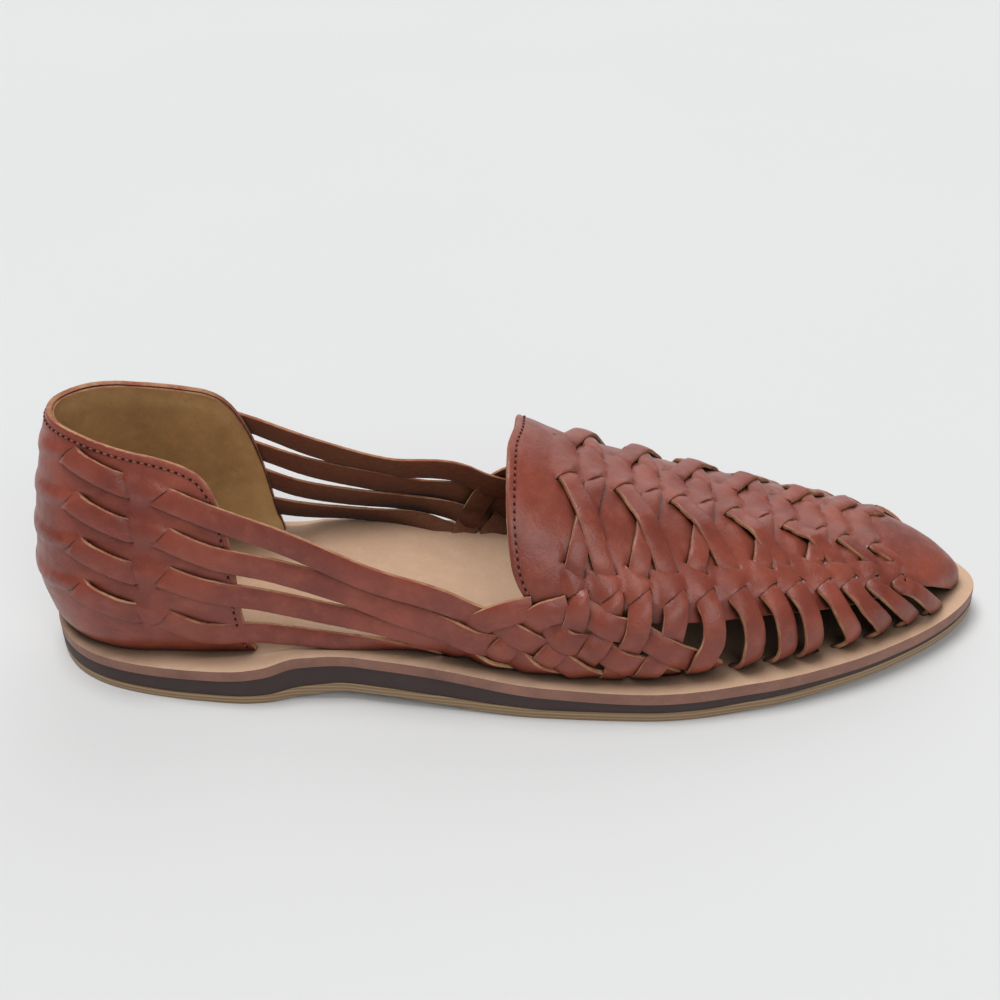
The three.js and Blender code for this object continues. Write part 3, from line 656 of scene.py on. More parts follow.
def tunnel_height(points, tunnels, reach=4.5):
    """Leather lifted over straps that run between two cuts, and pressed down just outside them.

    Each tunnel is (start cut, end cut, lifts at the two cuts, sag between them, presses outside them, and
    how far the leather is folded to a ridge at the end cut).
    """
    rise, sink = np.zeros(len(points)), np.zeros(len(points))
    for start, end, lifts, sag, presses, fold in tunnels:
        along = end.centre - start.centre
        heading = along / np.linalg.norm(along)
        start_dir, end_dir = (
            cut.direction if cross2(cut.direction, heading) > 0 else -cut.direction for cut in (start, end)
        )
        from_start = cross2(start_dir, points - start.centre)
        to_end = -cross2(end_dir, points - end.centre)
        within = (from_start > 0) & (to_end > 0)
        share = np.clip(from_start / np.maximum(from_start + to_end, 1e-6), 0, 1)
        middle = start.centre + along * share[:, None]
        direction = unit(start_dir * (1 - share)[:, None] + end_dir * share[:, None])
        side = cross2(points - middle, heading) / cross2(direction, heading)
        half = start.half * (1 - share) + end.half * share
        lift = (lifts[0] * (1 - share) + lifts[1] * share) * (1 - sag * np.sin(math.pi * share))
        folded = fold * smoothstep(share * 1.3 - 0.2)
        shape = plateau(side, half * 1.06) * (1 - folded) + tent(side, half * 1.2) * 1.1 * folded
        rise = np.maximum(rise, np.where(within, lift * shape, 0))
        for slit, direction, outside, depth in (
            (start, start_dir, -from_start, presses[0]), (end, end_dir, -to_end, presses[1])
        ):
            side = cross2(points - slit.centre, heading) / cross2(direction, heading)
            fall = np.exp(-((np.maximum(outside, 0) / reach) ** 2))
            sink = np.maximum(sink, np.where(outside > 0, depth * plateau(side, slit.half * 1.05) * fall, 0))
    return np.where(rise > 0, rise, -sink)


# ---- the woven vamp ----
def slit_row(side, row):
    curve = column(SLIT_ROWS, ("lateral_" if side < 0 else "medial_") + row)
    return lambda x: side * curve(x)


def strap_slits(side):
    """For each strap of one side, its three cuts as ((x, girth), direction, half length)."""
    upper, lower, outer = (slit_row(side, row) for row in ("upper", "lower", "outer"))
    slits = []
    for strap in rows_of(STRAPS):
        half = strap["width"] / 2
        lean = -0.1 if strap["over"] else 0.32
        slits.append({
            "upper": ((strap["upper"], upper(strap["upper"])), (0.7, -0.7 * side), half + 1.2),
            "lower": ((strap["lower"], lower(strap["lower"])), (1.0, lean * side), half + 0.8),
            "outer": ((strap["outer"], outer(strap["outer"])), (0.7, -0.7 * side), half + 1.0),
        })
    return slits


def flat_slit(cut):
    (x, girth), direction, half = cut
    stretch = float(vamp.run(x + 1) - vamp.run(x - 1)) / 2
    return Slit((float(vamp.run(x)), girth), (direction[0] * stretch, direction[1]), half)


def panel_outline():
    """The leather panel's edge as (x, girth), from the lateral throat corner round by the toe."""
    throat = column(THROAT, "x")
    girths = np.linspace(THROAT["rows"][-1][0], THROAT["rows"][0][0], 90)
    points = [(float(throat(g)), g) for g in girths]
    for side in (LATERAL, MEDIAL):
        edge = column(PANEL_EDGE, "lateral" if side < 0 else "medial")
        share = np.linspace(0, 1, 120)[1:]
        xs = 155.5 + (TIP_X - 0.15 - 155.5) * (1 - (1 - share) ** 1.6)
        reach = np.minimum(edge(xs), np.abs(vamp.base(xs, side)))
        line = [(x, side * g) for x, g in zip(xs, reach)]
        points.extend(line if side < 0 else line[::-1][1:])
    return np.array(points)


def smoothstep(x):
    t = np.clip(x, 0, 1)
    return t * t * (3 - 2 * t)


def make_panel(materials):
    outline = panel_outline()
    flat_outline = np.stack([vamp.run(outline[:, 0]), outline[:, 1]], axis=1)
    flat_outline = resample(flat_outline, 0.9)
    slits, tunnels = [], []
    cuts = {side: strap_slits(side) for side in (LATERAL, MEDIAL)}
    for k in range(len(STRAPS["rows"])):
        for side in (LATERAL, MEDIAL):
            lower, outer = flat_slit(cuts[side][k]["lower"]), flat_slit(cuts[side][k]["outer"])
            slits += [flat_slit(cuts[side][k]["upper"]), lower, outer]
            tunnels.append((lower, outer, (0.75, 1.65), 0.3, (0.9, 1.1), 0.85))
        upper = [flat_slit(cuts[side][k]["upper"]) for side in (LATERAL, MEDIAL)]
        tunnels.append((*upper, (1.75, 1.75), 0.75, (0.95, 0.95), 0.0))
    holes = [slit.hole() for slit in slits]
    flat, faces = triangulate(flat_outline, holes, 1.15)
    x, girth = vamp.at_run(flat[:, 0]), flat[:, 1]
    height = tunnel_height(flat, tunnels)
    border = np.concatenate([resample(loop, 0.4) for loop in [flat_outline] + holes])
    height -= 0.28 * (1 - smoothstep(distance_to(flat, border) / 0.6))
    for side in (LATERAL, MEDIAL):
        outer = np.abs(slit_row(side, "outer")(x))
        beyond = smoothstep((side * girth - outer - 1.5) / 5)
        window = smoothstep((x - 166) / 6) * smoothstep((276 - x) / 8)
        height -= 1.3 * beyond * window
    throat = column(THROAT, "x")
    seam = np.abs(x - throat(girth) - STITCH_INSET)
    height -= 0.18 * np.exp(-((seam / 0.7) ** 2))
    normal = vamp.normal(x, girth)
    face = vamp.point(x, girth)
    height += 0.22 * wobble(face, 11.0, 1.0) + 0.1 * wobble(face, 4.0, 2.0)
    outer = face + normal * height[:, None]
    shell = Shell()
    sheet(shell, flat, faces, outer, outer - normal * PANEL_THICKNESS)
    return shell.build("vamp_panel", materials, ["vamp"])


# The close weave beside the instep. Each strand is (x, girth, level): 1 over, -1 under, 0 between.
CROSS_ENDS = {
    0: ((178.7, 50, 0.2), (177.5, 55.2, -1), (174, 63.8, 1), (169, 73.1, -1), (165.5, 80.5, 0)),
    1: ((168.8, 50.2, 0.6), (169, 54, 1), (165.5, 64.3, -1), (160.5, 72.4, 1), (156, 79.9, -1), (153, 86, 0)),
    2: ((197.4, 46.5, 0.4), (197, 51, 0.4), (195.5, 58.7, -1), (190, 66.6, 1), (187, 75.5, 0)),
    3: ((187, 49, 0.6), (186, 56, 1), (182, 65.9, -1), (179, 73.5, 1), (177, 78.6, 0)),
    5: ((208, 45, 0.6), (208.5, 52, 1), (205, 61, 1), (203.6, 69, 0)),
}
WEAVE_STRANDS = (
    ((156, 58.8, -0.3), (150, 61.8, 0.9), (145, 65, 1), (139.5, 70, 0), (135.5, 76.5, -1), (131.5, 86.5, 0)),
    ((166.5, 53.8, 0), (158.5, 59.5, 1), (152.5, 69, -1), (147, 76, 1), (143, 83.5, -1), (141, 86, 0)),
    ((156.5, 60.8, -1), (160.5, 62.4, -0.8), (165.5, 64.3, 1), (174, 63.8, -1), (182, 65.9, 1), (190, 67, -1),
     (196.5, 72.4, 0)),
    ((169.5, 53.4, -1), (172, 53.8, -0.7), (177.5, 55.2, 1), (186, 56, -1), (195.8, 58.7, 1), (204, 61.5, -1),
     (209, 64.5, -1.2)),
)
WEAVE_LIFT = 1.02
HEEL_ENDS = (
    ((132, 64.5, 0.6), (138, 66.5, -0.4), (145, 67.8, -1), (152.3, 68.8, 1), (160.5, 71.4, -1),
     (168.8, 72.6, 1), (175.8, 78.2, 0)),
    ((130, 73, 0.8), (138, 74.8, 1), (147, 75.8, -1), (155.5, 78.4, 1), (163, 82, 0)),
    ((128, 80, -0.6), (136, 81.8, -1), (143, 83, 1), (150.5, 86, 0)),
    ((122, 86.5, -0.4), (127.5, 88, 0)),
)


def weave_nodes(strand, side):
    """Strand points as (x, signed girth, lift) on that side, and its tuck into the footbed."""
    nodes = []
    for x, girth, level in strand:
        reach = abs(float(vamp.base(x, side))) / abs(float(vamp.base(x, LATERAL)))
        nodes.append((x, side * girth * reach, 0.8 + WEAVE_LIFT * level))
    x, girth, level = nodes[-1]
    return nodes[:-1] + [(x, girth, 0.5), (x - 0.8, girth + side * 2.4, 0.3)]


def rib_nodes(strap, cut, side):
    (x, girth), _, _ = cut["outer"]
    foot = strap["foot"]
    base = float(vamp.base(foot, side))
    span = abs(base - girth)
    lean = 0.42 * min(span, 14)
    return [
        (x + 0.25 * lean, girth + side * 2.4, 0.7), (x + 0.72 * lean, girth + side * 0.33 * span, 1.2),
        (foot + 2.6, base - side * 0.32 * span, 1.4), (foot + 0.6, base - side * 1.2, 0.9),
        (foot - 0.4, base + side * 1.6, 0.5),
    ]


def dive(cut, other):
    """Nodes from outside a cut to well inside it, towards the other end of the tunnel."""
    centre, direction, _ = cut
    centre, other = np.array(centre), np.array(other)
    gap = float(np.linalg.norm(other - centre))
    inward = (other - centre) / gap
    nodes = [(*centre, 0.02, unit(np.array(direction, float)))]
    for depth, lift in ((1.6, -0.55), (3.2, -1.0)):
        if depth < 0.48 * gap:
            nodes.append((*(centre + inward * depth), lift, None))
    return nodes


def side_nodes(strap, cut, index, side):
    """A strap from its foot up to its upper slit."""
    end = weave_nodes(CROSS_ENDS[index], side) if index in CROSS_ENDS else rib_nodes(strap, cut, side)
    outer, lower, upper = (np.array(cut[name][0]) for name in ("outer", "lower", "upper"))
    nodes = [(*node, None) for node in reversed(end)]
    nodes += dive(cut["outer"], lower) + dive(cut["lower"], outer)[::-1]
    length = float(np.linalg.norm(upper - lower))
    heading = (upper - lower) / length
    step = min(5.0, 0.3 * length)
    top = {0: 0.75, 1: 0.8 + STRAP_THICKNESS, 2: 0.3}[strap["over"]]
    lifts = (
        (0.4 * step, 0.5), (step, 0.78), (length / 2, top),
        (length - step, 0.78), (length - 0.4 * step, 0.5),
    )
    if strap["over"] == 2:
        lifts = ((length / 2, top),)
    nodes += [(*(lower + heading * along), lift, None) for along, lift in lifts]
    return nodes + dive(cut["upper"], (upper[0], 0))


def make_vamp_straps(materials):
    shell = Shell()
    cuts = {side: strap_slits(side) for side in (LATERAL, MEDIAL)}
    for k, strap in enumerate(rows_of(STRAPS)):
        lateral = side_nodes(strap, cuts[LATERAL][k], k, LATERAL)
        medial = side_nodes(strap, cuts[MEDIAL][k], k, MEDIAL)
        middle = [(strap["upper"] - 0.5, (lateral[-1][1] + medial[-1][1]) / 2, -1.25, None)]

        def past(row, x, girth, reach):
            """0 inside a row of cuts, growing to 1 some way beyond it."""
            limit = np.where(girth < 0, -slit_row(LATERAL, row)(x), slit_row(MEDIAL, row)(x))
            return smoothstep((np.abs(girth) - limit) / reach)

        width = lambda x, girth, full=strap["width"]: full * (0.84 + 0.14 * past("lower", x, girth, 6.0))
        roll = lambda x, girth, ribs=k not in CROSS_ENDS: 0.26 * ribs * past("outer", x, girth - 1, 7.0)
        arch = lambda x, girth: (
            0.75 * past("lower", x, girth, 5.0) * (1 - past("outer", x, girth - 2, 9.0)) + 0.12
        )
        surface_ribbon(shell, lateral + middle + medial[::-1], width, k, 260, roll, arch)
    return shell.build("woven_straps", materials, ["vamp"])


def make_weave(materials):
    shell = Shell()
    for side in (LATERAL, MEDIAL):
        for k, strand in enumerate(WEAVE_STRANDS):
            nodes = weave_nodes(strand, side)
            if k == 3:
                nodes = nodes[:-2] + [(209.5, side * 63.5, 0.2)]
            surface_ribbon(shell, [(*node, None) for node in nodes], 7.7, seed=20 + k, count=70, arch=0.55)
    return shell.build("close_weave", materials, ["vamp"])


# ---- the heel counter ----
counter = {name: column(COUNTER, name) for name in COUNTER["columns"][1:]}


def counter_outline(share, z, side):
    """Points of the counter's face at a level, from the back (share 0) to the front edge (1)."""
    share, z, side = np.broadcast_arrays(np.asarray(share, float), z, side)
    back, front = counter["back"](z), counter["front"](z)
    half = np.where(side < 0, counter["lateral"](z), counter["medial"](z))
    turn = np.clip(share / ROUND_SHARE, 0, 1) * math.pi / 2
    start = back + COUNTER_ROUND
    ahead = np.clip((share - ROUND_SHARE) / (1 - ROUND_SHARE), 0, None) * (front - start)
    x = np.where(share < ROUND_SHARE, start - COUNTER_ROUND * np.cos(turn) ** COUNTER_POWER, start + ahead)
    reach = np.where(share < ROUND_SHARE, half * np.sin(turn) ** COUNTER_POWER, half + COUNTER_FLARE * ahead)
    return np.stack([x, COUNTER_AXIS + side * reach, z], axis=-1)


class CounterSurface:
    """The counter's face over (across, z): across runs from +95 on the lateral front to -95 on the medial."""

    def __init__(self):
        self.levels = np.linspace(8, 84, 77)
        self.shares = np.linspace(0, 1, 201)
        self.arcs, self.xs = {}, {}
        for side in (LATERAL, MEDIAL):
            points = counter_outline(self.shares[None, :], self.levels[:, None], side)
            steps = np.linalg.norm(np.diff(points, axis=1), axis=2)
            arc = np.concatenate([np.zeros((len(points), 1)), np.cumsum(steps, axis=1)], axis=1)
            arc /= arc[:, -1:]
            self.arcs[side] = np.array([np.interp(self.shares, row, self.shares) for row in arc])
            self.xs[side] = points[:, :, 0]

    def share(self, amount, z, side):
        row = np.clip((z - self.levels[0]) / (self.levels[1] - self.levels[0]), 0, len(self.levels) - 1.001)
        col = np.clip(amount * (len(self.shares) - 1), 0, len(self.shares) - 1.001)
        i, j = row.astype(int), col.astype(int)
        a, b = row - i, col - j
        grid = self.arcs[side]
        top = grid[i, j] * (1 - b) + grid[i, j + 1] * b
        return top * (1 - a) + (grid[i + 1, j] * (1 - b) + grid[i + 1, j + 1] * b) * a

    def point(self, across, z):
        across, z = np.broadcast_arrays(np.asarray(across, float), np.asarray(z, float))
        amount = np.abs(across) / COUNTER_WIDTH
        side = np.where(across > 0, LATERAL, MEDIAL)
        share = np.where(across > 0, self.share(amount, z, LATERAL), self.share(amount, z, MEDIAL))
        return counter_outline(share, z, side)

    def normal(self, across, z):
        ahead = self.point(across + 0.8, z) - self.point(across - 0.8, z)
        up = self.point(across, z + 0.8) - self.point(across, z - 0.8)
        return unit(np.cross(ahead, up))

    def across(self, x, z, side):
        """Where on the face a point at x and z lies."""
        share = self.share(np.linspace(0, 1, 201), np.full(201, float(z)), side)
        xs = counter_outline(share, float(z), side)[:, 0]
        return -side * COUNTER_WIDTH * float(np.interp(x, xs, np.linspace(0, 1, 201)))


heel = CounterSurface()


def heel_slit(cut, side, drop=0.0):
    """A cut given by its two ends (x, z), taken down the counter by some distance."""
    ends = [np.array([heel.across(x, z - drop, side), z - drop]) for x, z in cut]
    return Slit((ends[0] + ends[1]) / 2, ends[1] - ends[0], np.linalg.norm(ends[1] - ends[0]) / 2 + 0.2)


def heel_slits(side):
    """The middle, back and front cuts of each lacing row on one side."""
    return [
        {"middle": heel_slit(MIDDLE_CUT, side, row * LACE_PITCH),
         "back": heel_slit(BACK_CUT, side, row * LACE_PITCH),
         "front": heel_slit(FRONT_CUTS[row], side)}
        for row in range(LACE_ROWS)
    ]


def counter_rim(inset=0.0):
    """The counter's free edge on the flat, from the lateral foot over the back to the medial foot."""
    rim = [(COUNTER_WIDTH * share, z) for share, z in COUNTER_EDGE[LATERAL][::-1]]
    rim += [(-COUNTER_WIDTH * share, z) for share, z in COUNTER_EDGE[MEDIAL][1:]]
    path = smooth_path(np.array(rim), 420)
    along = unit(np.gradient(path, axis=0))
    moved = path - inset * np.stack([along[:, 1], -along[:, 0]], axis=1)
    moved[:, 1] = np.maximum(moved[:, 1], COUNTER_BOTTOM)
    return moved


def back_mid_slit(row):
    return Slit((0, 69.8 - row * LACE_PITCH), (0.0, 1.0), 3.6)


def make_counter(materials):
    cuts = {side: heel_slits(side) for side in (LATERAL, MEDIAL)}
    rim = counter_rim()
    outline = resample(rim, 0.9)
    slits, tunnels = [], []
    for row in range(LACE_ROWS):
        for side in (LATERAL, MEDIAL):
            cut = cuts[side][row]
            slits += [cut["middle"], cut["back"], cut["front"]]
            tunnels.append((cut["middle"], cut["front"], (1.15, 1.3), 0.35, (0.6, 0.6), 0.3))
            tunnels.append((cut["back"], back_mid_slit(row), (1.1, 0.4), 0.1, (0.6, 0.0), 0.0))
    holes = [slit.hole() for slit in slits]
    flat, faces = triangulate(outline, holes, 1.25)
    height = tunnel_height(flat, tunnels, 4.0)
    border = np.concatenate([resample(loop, 0.4) for loop in [outline] + holes])
    height -= 0.25 * (1 - smoothstep(distance_to(flat, border) / 0.6))
    height -= 0.22 * np.exp(-(((distance_to(flat, rim) - STITCH_INSET) / 0.7) ** 2))
    face, normal = heel.point(flat[:, 0], flat[:, 1]), heel.normal(flat[:, 0], flat[:, 1])
    height += 0.2 * wobble(face, 10.0, 3.0) + 0.1 * wobble(face, 4.2, 4.0)
    outer = face + normal * height[:, None]
    shell = Shell()
    sheet(shell, flat, faces, outer, outer - normal * COUNTER_LEATHER)
    return shell.build("counter_leather", materials, ["heel_counter"])


def make_lining(materials):
    rim = counter_rim(0.5)
    outline = resample(rim, 1.5)
    flat, faces = triangulate(outline, [], 2.2, rings=())
    face, normal = heel.point(flat[:, 0], flat[:, 1]), heel.normal(flat[:, 0], flat[:, 1])
    tuck = 0.75 * smoothstep((distance_to(flat, rim) - 1.5) / 4)
    level = -COUNTER_LEATHER - 0.05 - tuck + 0.12 * wobble(face, 9.0, 5.0)
    outer = face + normal * level[:, None]
    shell = Shell()
    sheet(shell, flat, faces, outer, outer - normal * LINING_THICKNESS)
    return shell.build("counter_lining", materials, ["heel_counter"])


def counter_ribbon(shell, nodes, width, seed=0.0, count=60):
    """A strap over the counter through nodes of (across, z, lift, cut direction or None)."""
    path = smooth_path(np.asarray(skewed(nodes, lambda across, z: (across, z)), float), count)
    across, z = path[:, 0], path[:, 1]
    ribbon(shell, heel.point(across, z), heel.normal(across, z), width, path[:, 2], path[:, 3], seed=seed)


def cut_of(slit):
    return (slit.centre, slit.direction, slit.half)


def make_lacing(materials):
    shell = Shell()
    for row in range(LACE_ROWS):
        nodes = []
        for side in (LATERAL, MEDIAL):
            cuts = heel_slits(side)[row]
            middle, back, front = (cuts[name].centre for name in ("middle", "back", "front"))
            run = back - middle
            hidden = middle + (front - middle) * 0.45
            centre = np.array([0, 69.8 - row * LACE_PITCH])
            part = [(*hidden, -0.95, None)] + dive(cut_of(cuts["middle"]), hidden)[::-1]
            part += [(*(middle + run * share), lift, None)
                     for share, lift in ((0.08, 0.65), (0.22, 1.05), (0.5, 1.1), (0.78, 1.05), (0.92, 0.65))]
            part += dive(cut_of(cuts["back"]), centre)
            nodes += part if side < 0 else [(*centre, -0.95, None)] + part[::-1]
        counter_ribbon(shell, nodes, 6.6, seed=40 + row, count=230)
    return shell.build("counter_lacing", materials, ["heel_counter"])


def make_heel_straps(materials, side, name, node):
    shell = Shell()
    for row, run in enumerate(HEEL_RUNS[side]):
        cuts = heel_slits(side)[row]
        front, middle = cuts["front"].centre, cuts["middle"].centre
        x, _, z, width = run[0]
        leave = np.array([heel.across(x, z, side), z])
        hidden = middle + (front - middle) * 0.5
        flat = [(*hidden, -0.95, None)] + dive(cut_of(cuts["front"]), hidden)[::-1]
        flat += [(*(front + (leave - front) * 0.3), 0.6, None), (*leave, 0.95, None)]
        flat = skewed(flat, lambda across, z: (across, z))
        nodes = []
        for across, level, lift, skew in flat:
            nodes.append((*heel.point(across, level), *heel.normal(across, level), 7.1, lift, skew))
        lean = unit(np.array([-0.06, side * 0.97, 0.2]))
        for x, y, z, width in run[1:]:
            nodes.append((x, y, z, *lean, width, 0.0, 0.0))
        ends = weave_nodes(HEEL_ENDS[row], side)
        for k, (x, girth, lift) in enumerate(ends):
            normal = vamp.normal(x, girth)
            fade = width + ((4.6 if row == 3 else 7.5) - width) * k / len(ends)
            nodes.append((*vamp.point(x, girth), *normal, fade, lift, 0.0))
        path = smooth_path(np.array(nodes), 130)
        ribbon(shell, path[:, :3], path[:, 3:6], path[:, 6], path[:, 7], path[:, 8], seed=60 + row + side)
    return shell.build(name, materials, [node])


# ---- the sole ----
TREAD_PITCH = 7.5
TREAD_SWAY = 5.5
TREAD_BEND = 9.5
OUTSOLE_EDGE = ((0.06, 0.1), (0.35, 0.16), (0.7, 0.12), (0.95, 0.02))


def sole_outline(inset=0.0, spacing=2.0):
    xs = SOLE_LENGTH * (1 - np.cos(np.linspace(0.012, 0.988, 260) * math.pi)) / 2
    lateral = [(x, float(sole_lateral(x)) + inset) for x in xs]
    medial = [(x, float(sole_medial(x)) - inset) for x in xs[::-1]]
    return resample(np.array(lateral + medial), spacing)


def footbed_slots():
    """The slots the strap feet dive into, each a round-ended hole (x, y)."""
    holes = []
    for side in (LATERAL, MEDIAL):
        for x in FOOT_SLOTS:
            here = vamp.point(x, vamp.base(x, side))
            ahead = vamp.point(x + 2, vamp.base(x + 2, side))
            along = unit((ahead - here)[:2])
            across = np.array([-along[1], along[0]])
            outward = across * side if across[1] > 0 else -across * side
            centre = here[:2] + outward * 1.3
            turns = np.radians(np.arange(0, 360, 24.0))
            shape = [(math.copysign(abs(math.cos(t)) ** 0.6, math.cos(t)) * SLOT_LENGTH / 2,
                      math.copysign(abs(math.sin(t)) ** 0.6, math.sin(t)) * SLOT_WIDTH / 2) for t in turns]
            holes.append(np.array([centre + along * a + across * b for a, b in shape]))
    return holes


def make_footbed(materials):
    outline = sole_outline(0.0, 1.6)
    holes = footbed_slots()
    flat, faces = triangulate(outline, holes, 2.2)
    near = distance_to(flat, resample(outline, 0.5))
    ease = 0.45 * (1 - smoothstep(near / 1.6)) ** 2
    top = layer["top"](flat[:, 0]) - ease
    outer = np.column_stack([flat, top + 0.1 * wobble(np.column_stack([flat, top]), 24.0, 6.0)])
    inner = np.column_stack([flat, layer["footbed_under"](flat[:, 0])])
    shell = Shell()
    profile = ((0.1, 0.05), (0.3, 0.12), (0.6, 0.12), (0.94, 0.0))
    sheet(shell, flat, faces, outer, inner, profile=profile, rough=0.015)
    return shell.build("footbed_board", materials, ["footbed"], sharp=40)


def make_midsole(materials):
    outline = sole_outline(0.35, 1.6)
    flat, faces = triangulate(outline, [], 4.0, rings=())
    outer = np.column_stack([flat, layer["footbed_under"](flat[:, 0]) - 0.02])
    inner = np.column_stack([flat, layer["midsole_under"](flat[:, 0])])
    shell = Shell()
    sheet(shell, flat, faces, outer, inner, profile=((0.08, 0.2), (0.5, 0.25), (0.92, 0.2)), rough=0.02)
    return shell.build("midsole_layer", materials, ["midsole"], sharp=40)


def make_outsole(materials, depth):
    outline = sole_outline(0.1, 1.6)
    flat, faces = triangulate(outline, [], 1.35, rings=())
    x, y = flat[:, 0], flat[:, 1]
    near = distance_to(flat, resample(outline, 0.5))
    outer = np.column_stack([flat, layer["midsole_under"](x) - 0.02])
    bars = x + TREAD_SWAY * np.cos(y / TREAD_BEND)
    wave = np.clip(np.cos(2 * math.pi * bars / TREAD_PITCH) * 1.6 - 0.75, 0, 1)
    ground = layer["outsole_under"](x)
    inner = np.column_stack([flat, ground + depth * wave * smoothstep((near - 5) / 1.5)])
    shell = Shell()
    sheet(shell, flat, faces, outer, inner, profile=OUTSOLE_EDGE, rough=0.02)
    return shell.build("outsole_layer", materials, ["outsole"], sharp=40)


# ---- stitching ----
STITCH_GAP = 0.42
THREAD_RADIUS = 0.3
HOLE_REACH = 0.5
HOLE_RADIUS = 0.36


def thread(shell, start, end, normal, radius=0.32, kind=GRAIN, rings=5, sides=8):
    """One stitch: a short rounded thread pressed into the leather."""
    start, end = np.asarray(start, float), np.asarray(end, float)
    along = unit(end - start)
    across = unit(np.cross(normal, along))
    up = np.cross(along, across)
    points = [start]
    for k in range(1, rings + 1):
        share = k / (rings + 1)
        swell = math.sin(math.pi * share) ** 0.45
        middle = start + (end - start) * share + up * 0.12 * math.sin(math.pi * share)
        for j in range(sides):
            turn = 2 * math.pi * j / sides
            points.append(middle + radius * swell * (across * math.cos(turn) + up * 0.8 * math.sin(turn)))
    points.append(end)
    faces = [(0, 1 + (j + 1) % sides, 1 + j) for j in range(sides)]
    for k in range(rings - 1):
        a, b = 1 + k * sides, 1 + (k + 1) * sides
        faces += [(a + j, a + (j + 1) % sides, b + (j + 1) % sides, b + j) for j in range(sides)]
    a, tip = 1 + (rings - 1) * sides, len(points) - 1
    faces += [(a + j, a + (j + 1) % sides, tip) for j in range(sides)]
    shell.add(np.array(points), faces, [kind] * len(faces))


def stitch_line(shell, points, normals, pitch):
    """Stitches along a line of points on the leather."""
    lengths = np.concatenate([[0], np.cumsum(np.linalg.norm(np.diff(points, axis=0), axis=1))])
    count = int(lengths[-1] / pitch)
    for k in range(count):
        for start, end, radius, kind in (
            (STITCH_GAP, pitch - STITCH_GAP, THREAD_RADIUS, GRAIN),
            # a short dark blob across each awl hole, the painted shade of the hole
            (-HOLE_REACH, HOLE_REACH, HOLE_RADIUS, RAW),
        ):
            spots = [k * pitch + at for at in (start, end)]
            ends = [np.array([np.interp(spot, lengths, points[:, c]) for c in range(3)]) for spot in spots]
            middle = k * pitch + (start + end) / 2
            normal = unit(np.array([np.interp(middle, lengths, normals[:, c]) for c in range(3)]))
            thread(shell, ends[0], ends[1], normal, radius, kind)


def make_stitching(materials, pitch):
    shell = Shell()
    girths = np.linspace(-55.5, 54.5, 140)
    x = column(THROAT, "x")(girths) + STITCH_INSET
    normal = vamp.normal(x, girths)
    face = vamp.point(x, girths)
    lift = 0.22 * wobble(face, 11.0, 1.0) + 0.1 * wobble(face, 4.0, 2.0) - 0.12
    stitch_line(shell, face + normal * lift[:, None], normal, pitch)
    rim = counter_rim(STITCH_INSET)
    across, z = rim[rim[:, 1] > COUNTER_BOTTOM + 4].T
    face, normal = heel.point(across, z), heel.normal(across, z)
    lift = 0.2 * wobble(face, 10.0, 3.0) + 0.1 * wobble(face, 4.2, 4.0) - 0.12
    stitch_line(shell, face + normal * lift[:, None], normal, pitch)
    return shell.build("edge_stitching", materials, ["vamp", "heel_counter"])


# ---- finishes ----
def srgb(red, green, blue):
    """A colour written from 0 to 255 as Blender's linear numbers."""
    shares = [c / 255 for c in (red, green, blue)]
    return tuple(c / 12.92 if c <= 0.04045 else ((c + 0.055) / 1.055) ** 2.4 for c in shares)


def opaque(colour):
    return (*tuple(colour)[:3], 1.0)


def put(tree, kind, sockets=None, **settings):
    """Adds a node; sockets gives values, or other nodes' outputs to link."""
    node = tree.nodes.new(kind)
    for key, value in settings.items():
        setattr(node, key, value)
    for key, value in (sockets or {}).items():
        if isinstance(value, bpy.types.NodeSocket):
            tree.links.new(value, node.inputs[key])
        else:
            node.inputs[key].default_value = value
    return node


def mix_colour(tree, factor, first, second, blend="MIX"):
    node = put(tree, "ShaderNodeMix", data_type="RGBA", blend_type=blend)
    for socket, value in ((node.inputs[0], factor), (node.inputs[6], first), (node.inputs[7], second)):
        if isinstance(value, bpy.types.NodeSocket):
            tree.links.new(value, socket)
        else:
            socket.default_value = value
    return node.outputs[2]


def calculate(tree, operation, first, second=0.0, third=0.0):
    node = put(tree, "ShaderNodeMath", {0: first, 1: second, 2: third}, operation=operation)
    return node.outputs[0]


def spread(tree, value, low, high, to_low=0.0, to_high=1.0):
    """A value taken from one range to another and kept inside it."""
    node = put(tree, "ShaderNodeMapRange", {0: value, 1: low, 2: high, 3: to_low, 4: to_high})
    return node.outputs[0]


def noise(tree, place, scale, detail=4.0, rough=0.55):
    sockets = {"Vector": place, "Scale": scale, "Detail": detail, "Roughness": rough}
    return put(tree, "ShaderNodeTexNoise", sockets).outputs["Fac"]


def new_group(name, inputs, outputs):
    """A shader node group with named inputs (name, kind, default) and outputs (name, kind)."""
    tree = bpy.data.node_groups.new(name, "ShaderNodeTree")
    for label, kind, default in inputs:
        socket = tree.interface.new_socket(name=label, in_out="INPUT", socket_type=kind)
        socket.default_value = default
    for label, kind in outputs:
        tree.interface.new_socket(name=label, in_out="OUTPUT", socket_type=kind)
    return tree, tree.nodes.new("NodeGroupInput"), tree.nodes.new("NodeGroupOutput")


def painted_fold_shade(tree, colour, reach, amount):
    """Painted shade: the colour darkened by ambient occlusion in folds, corners and recesses."""
    # painted shade: within the reach, occluded places are darkened by up to the amount
    shut = spread(tree, put(tree, "ShaderNodeAmbientOcclusion", {"Distance": reach}, samples=6).outputs["AO"],
                  0.25, 0.88, 1.0, 0.0)
    tone = calculate(tree, "SUBTRACT", 1.0, calculate(tree, "MULTIPLY", shut, amount))
    shade = put(tree, "ShaderNodeCombineColor", {0: tone, 1: tone, 2: tone}).outputs[0]
    return mix_colour(tree, 1.0, colour, shade, "MULTIPLY")


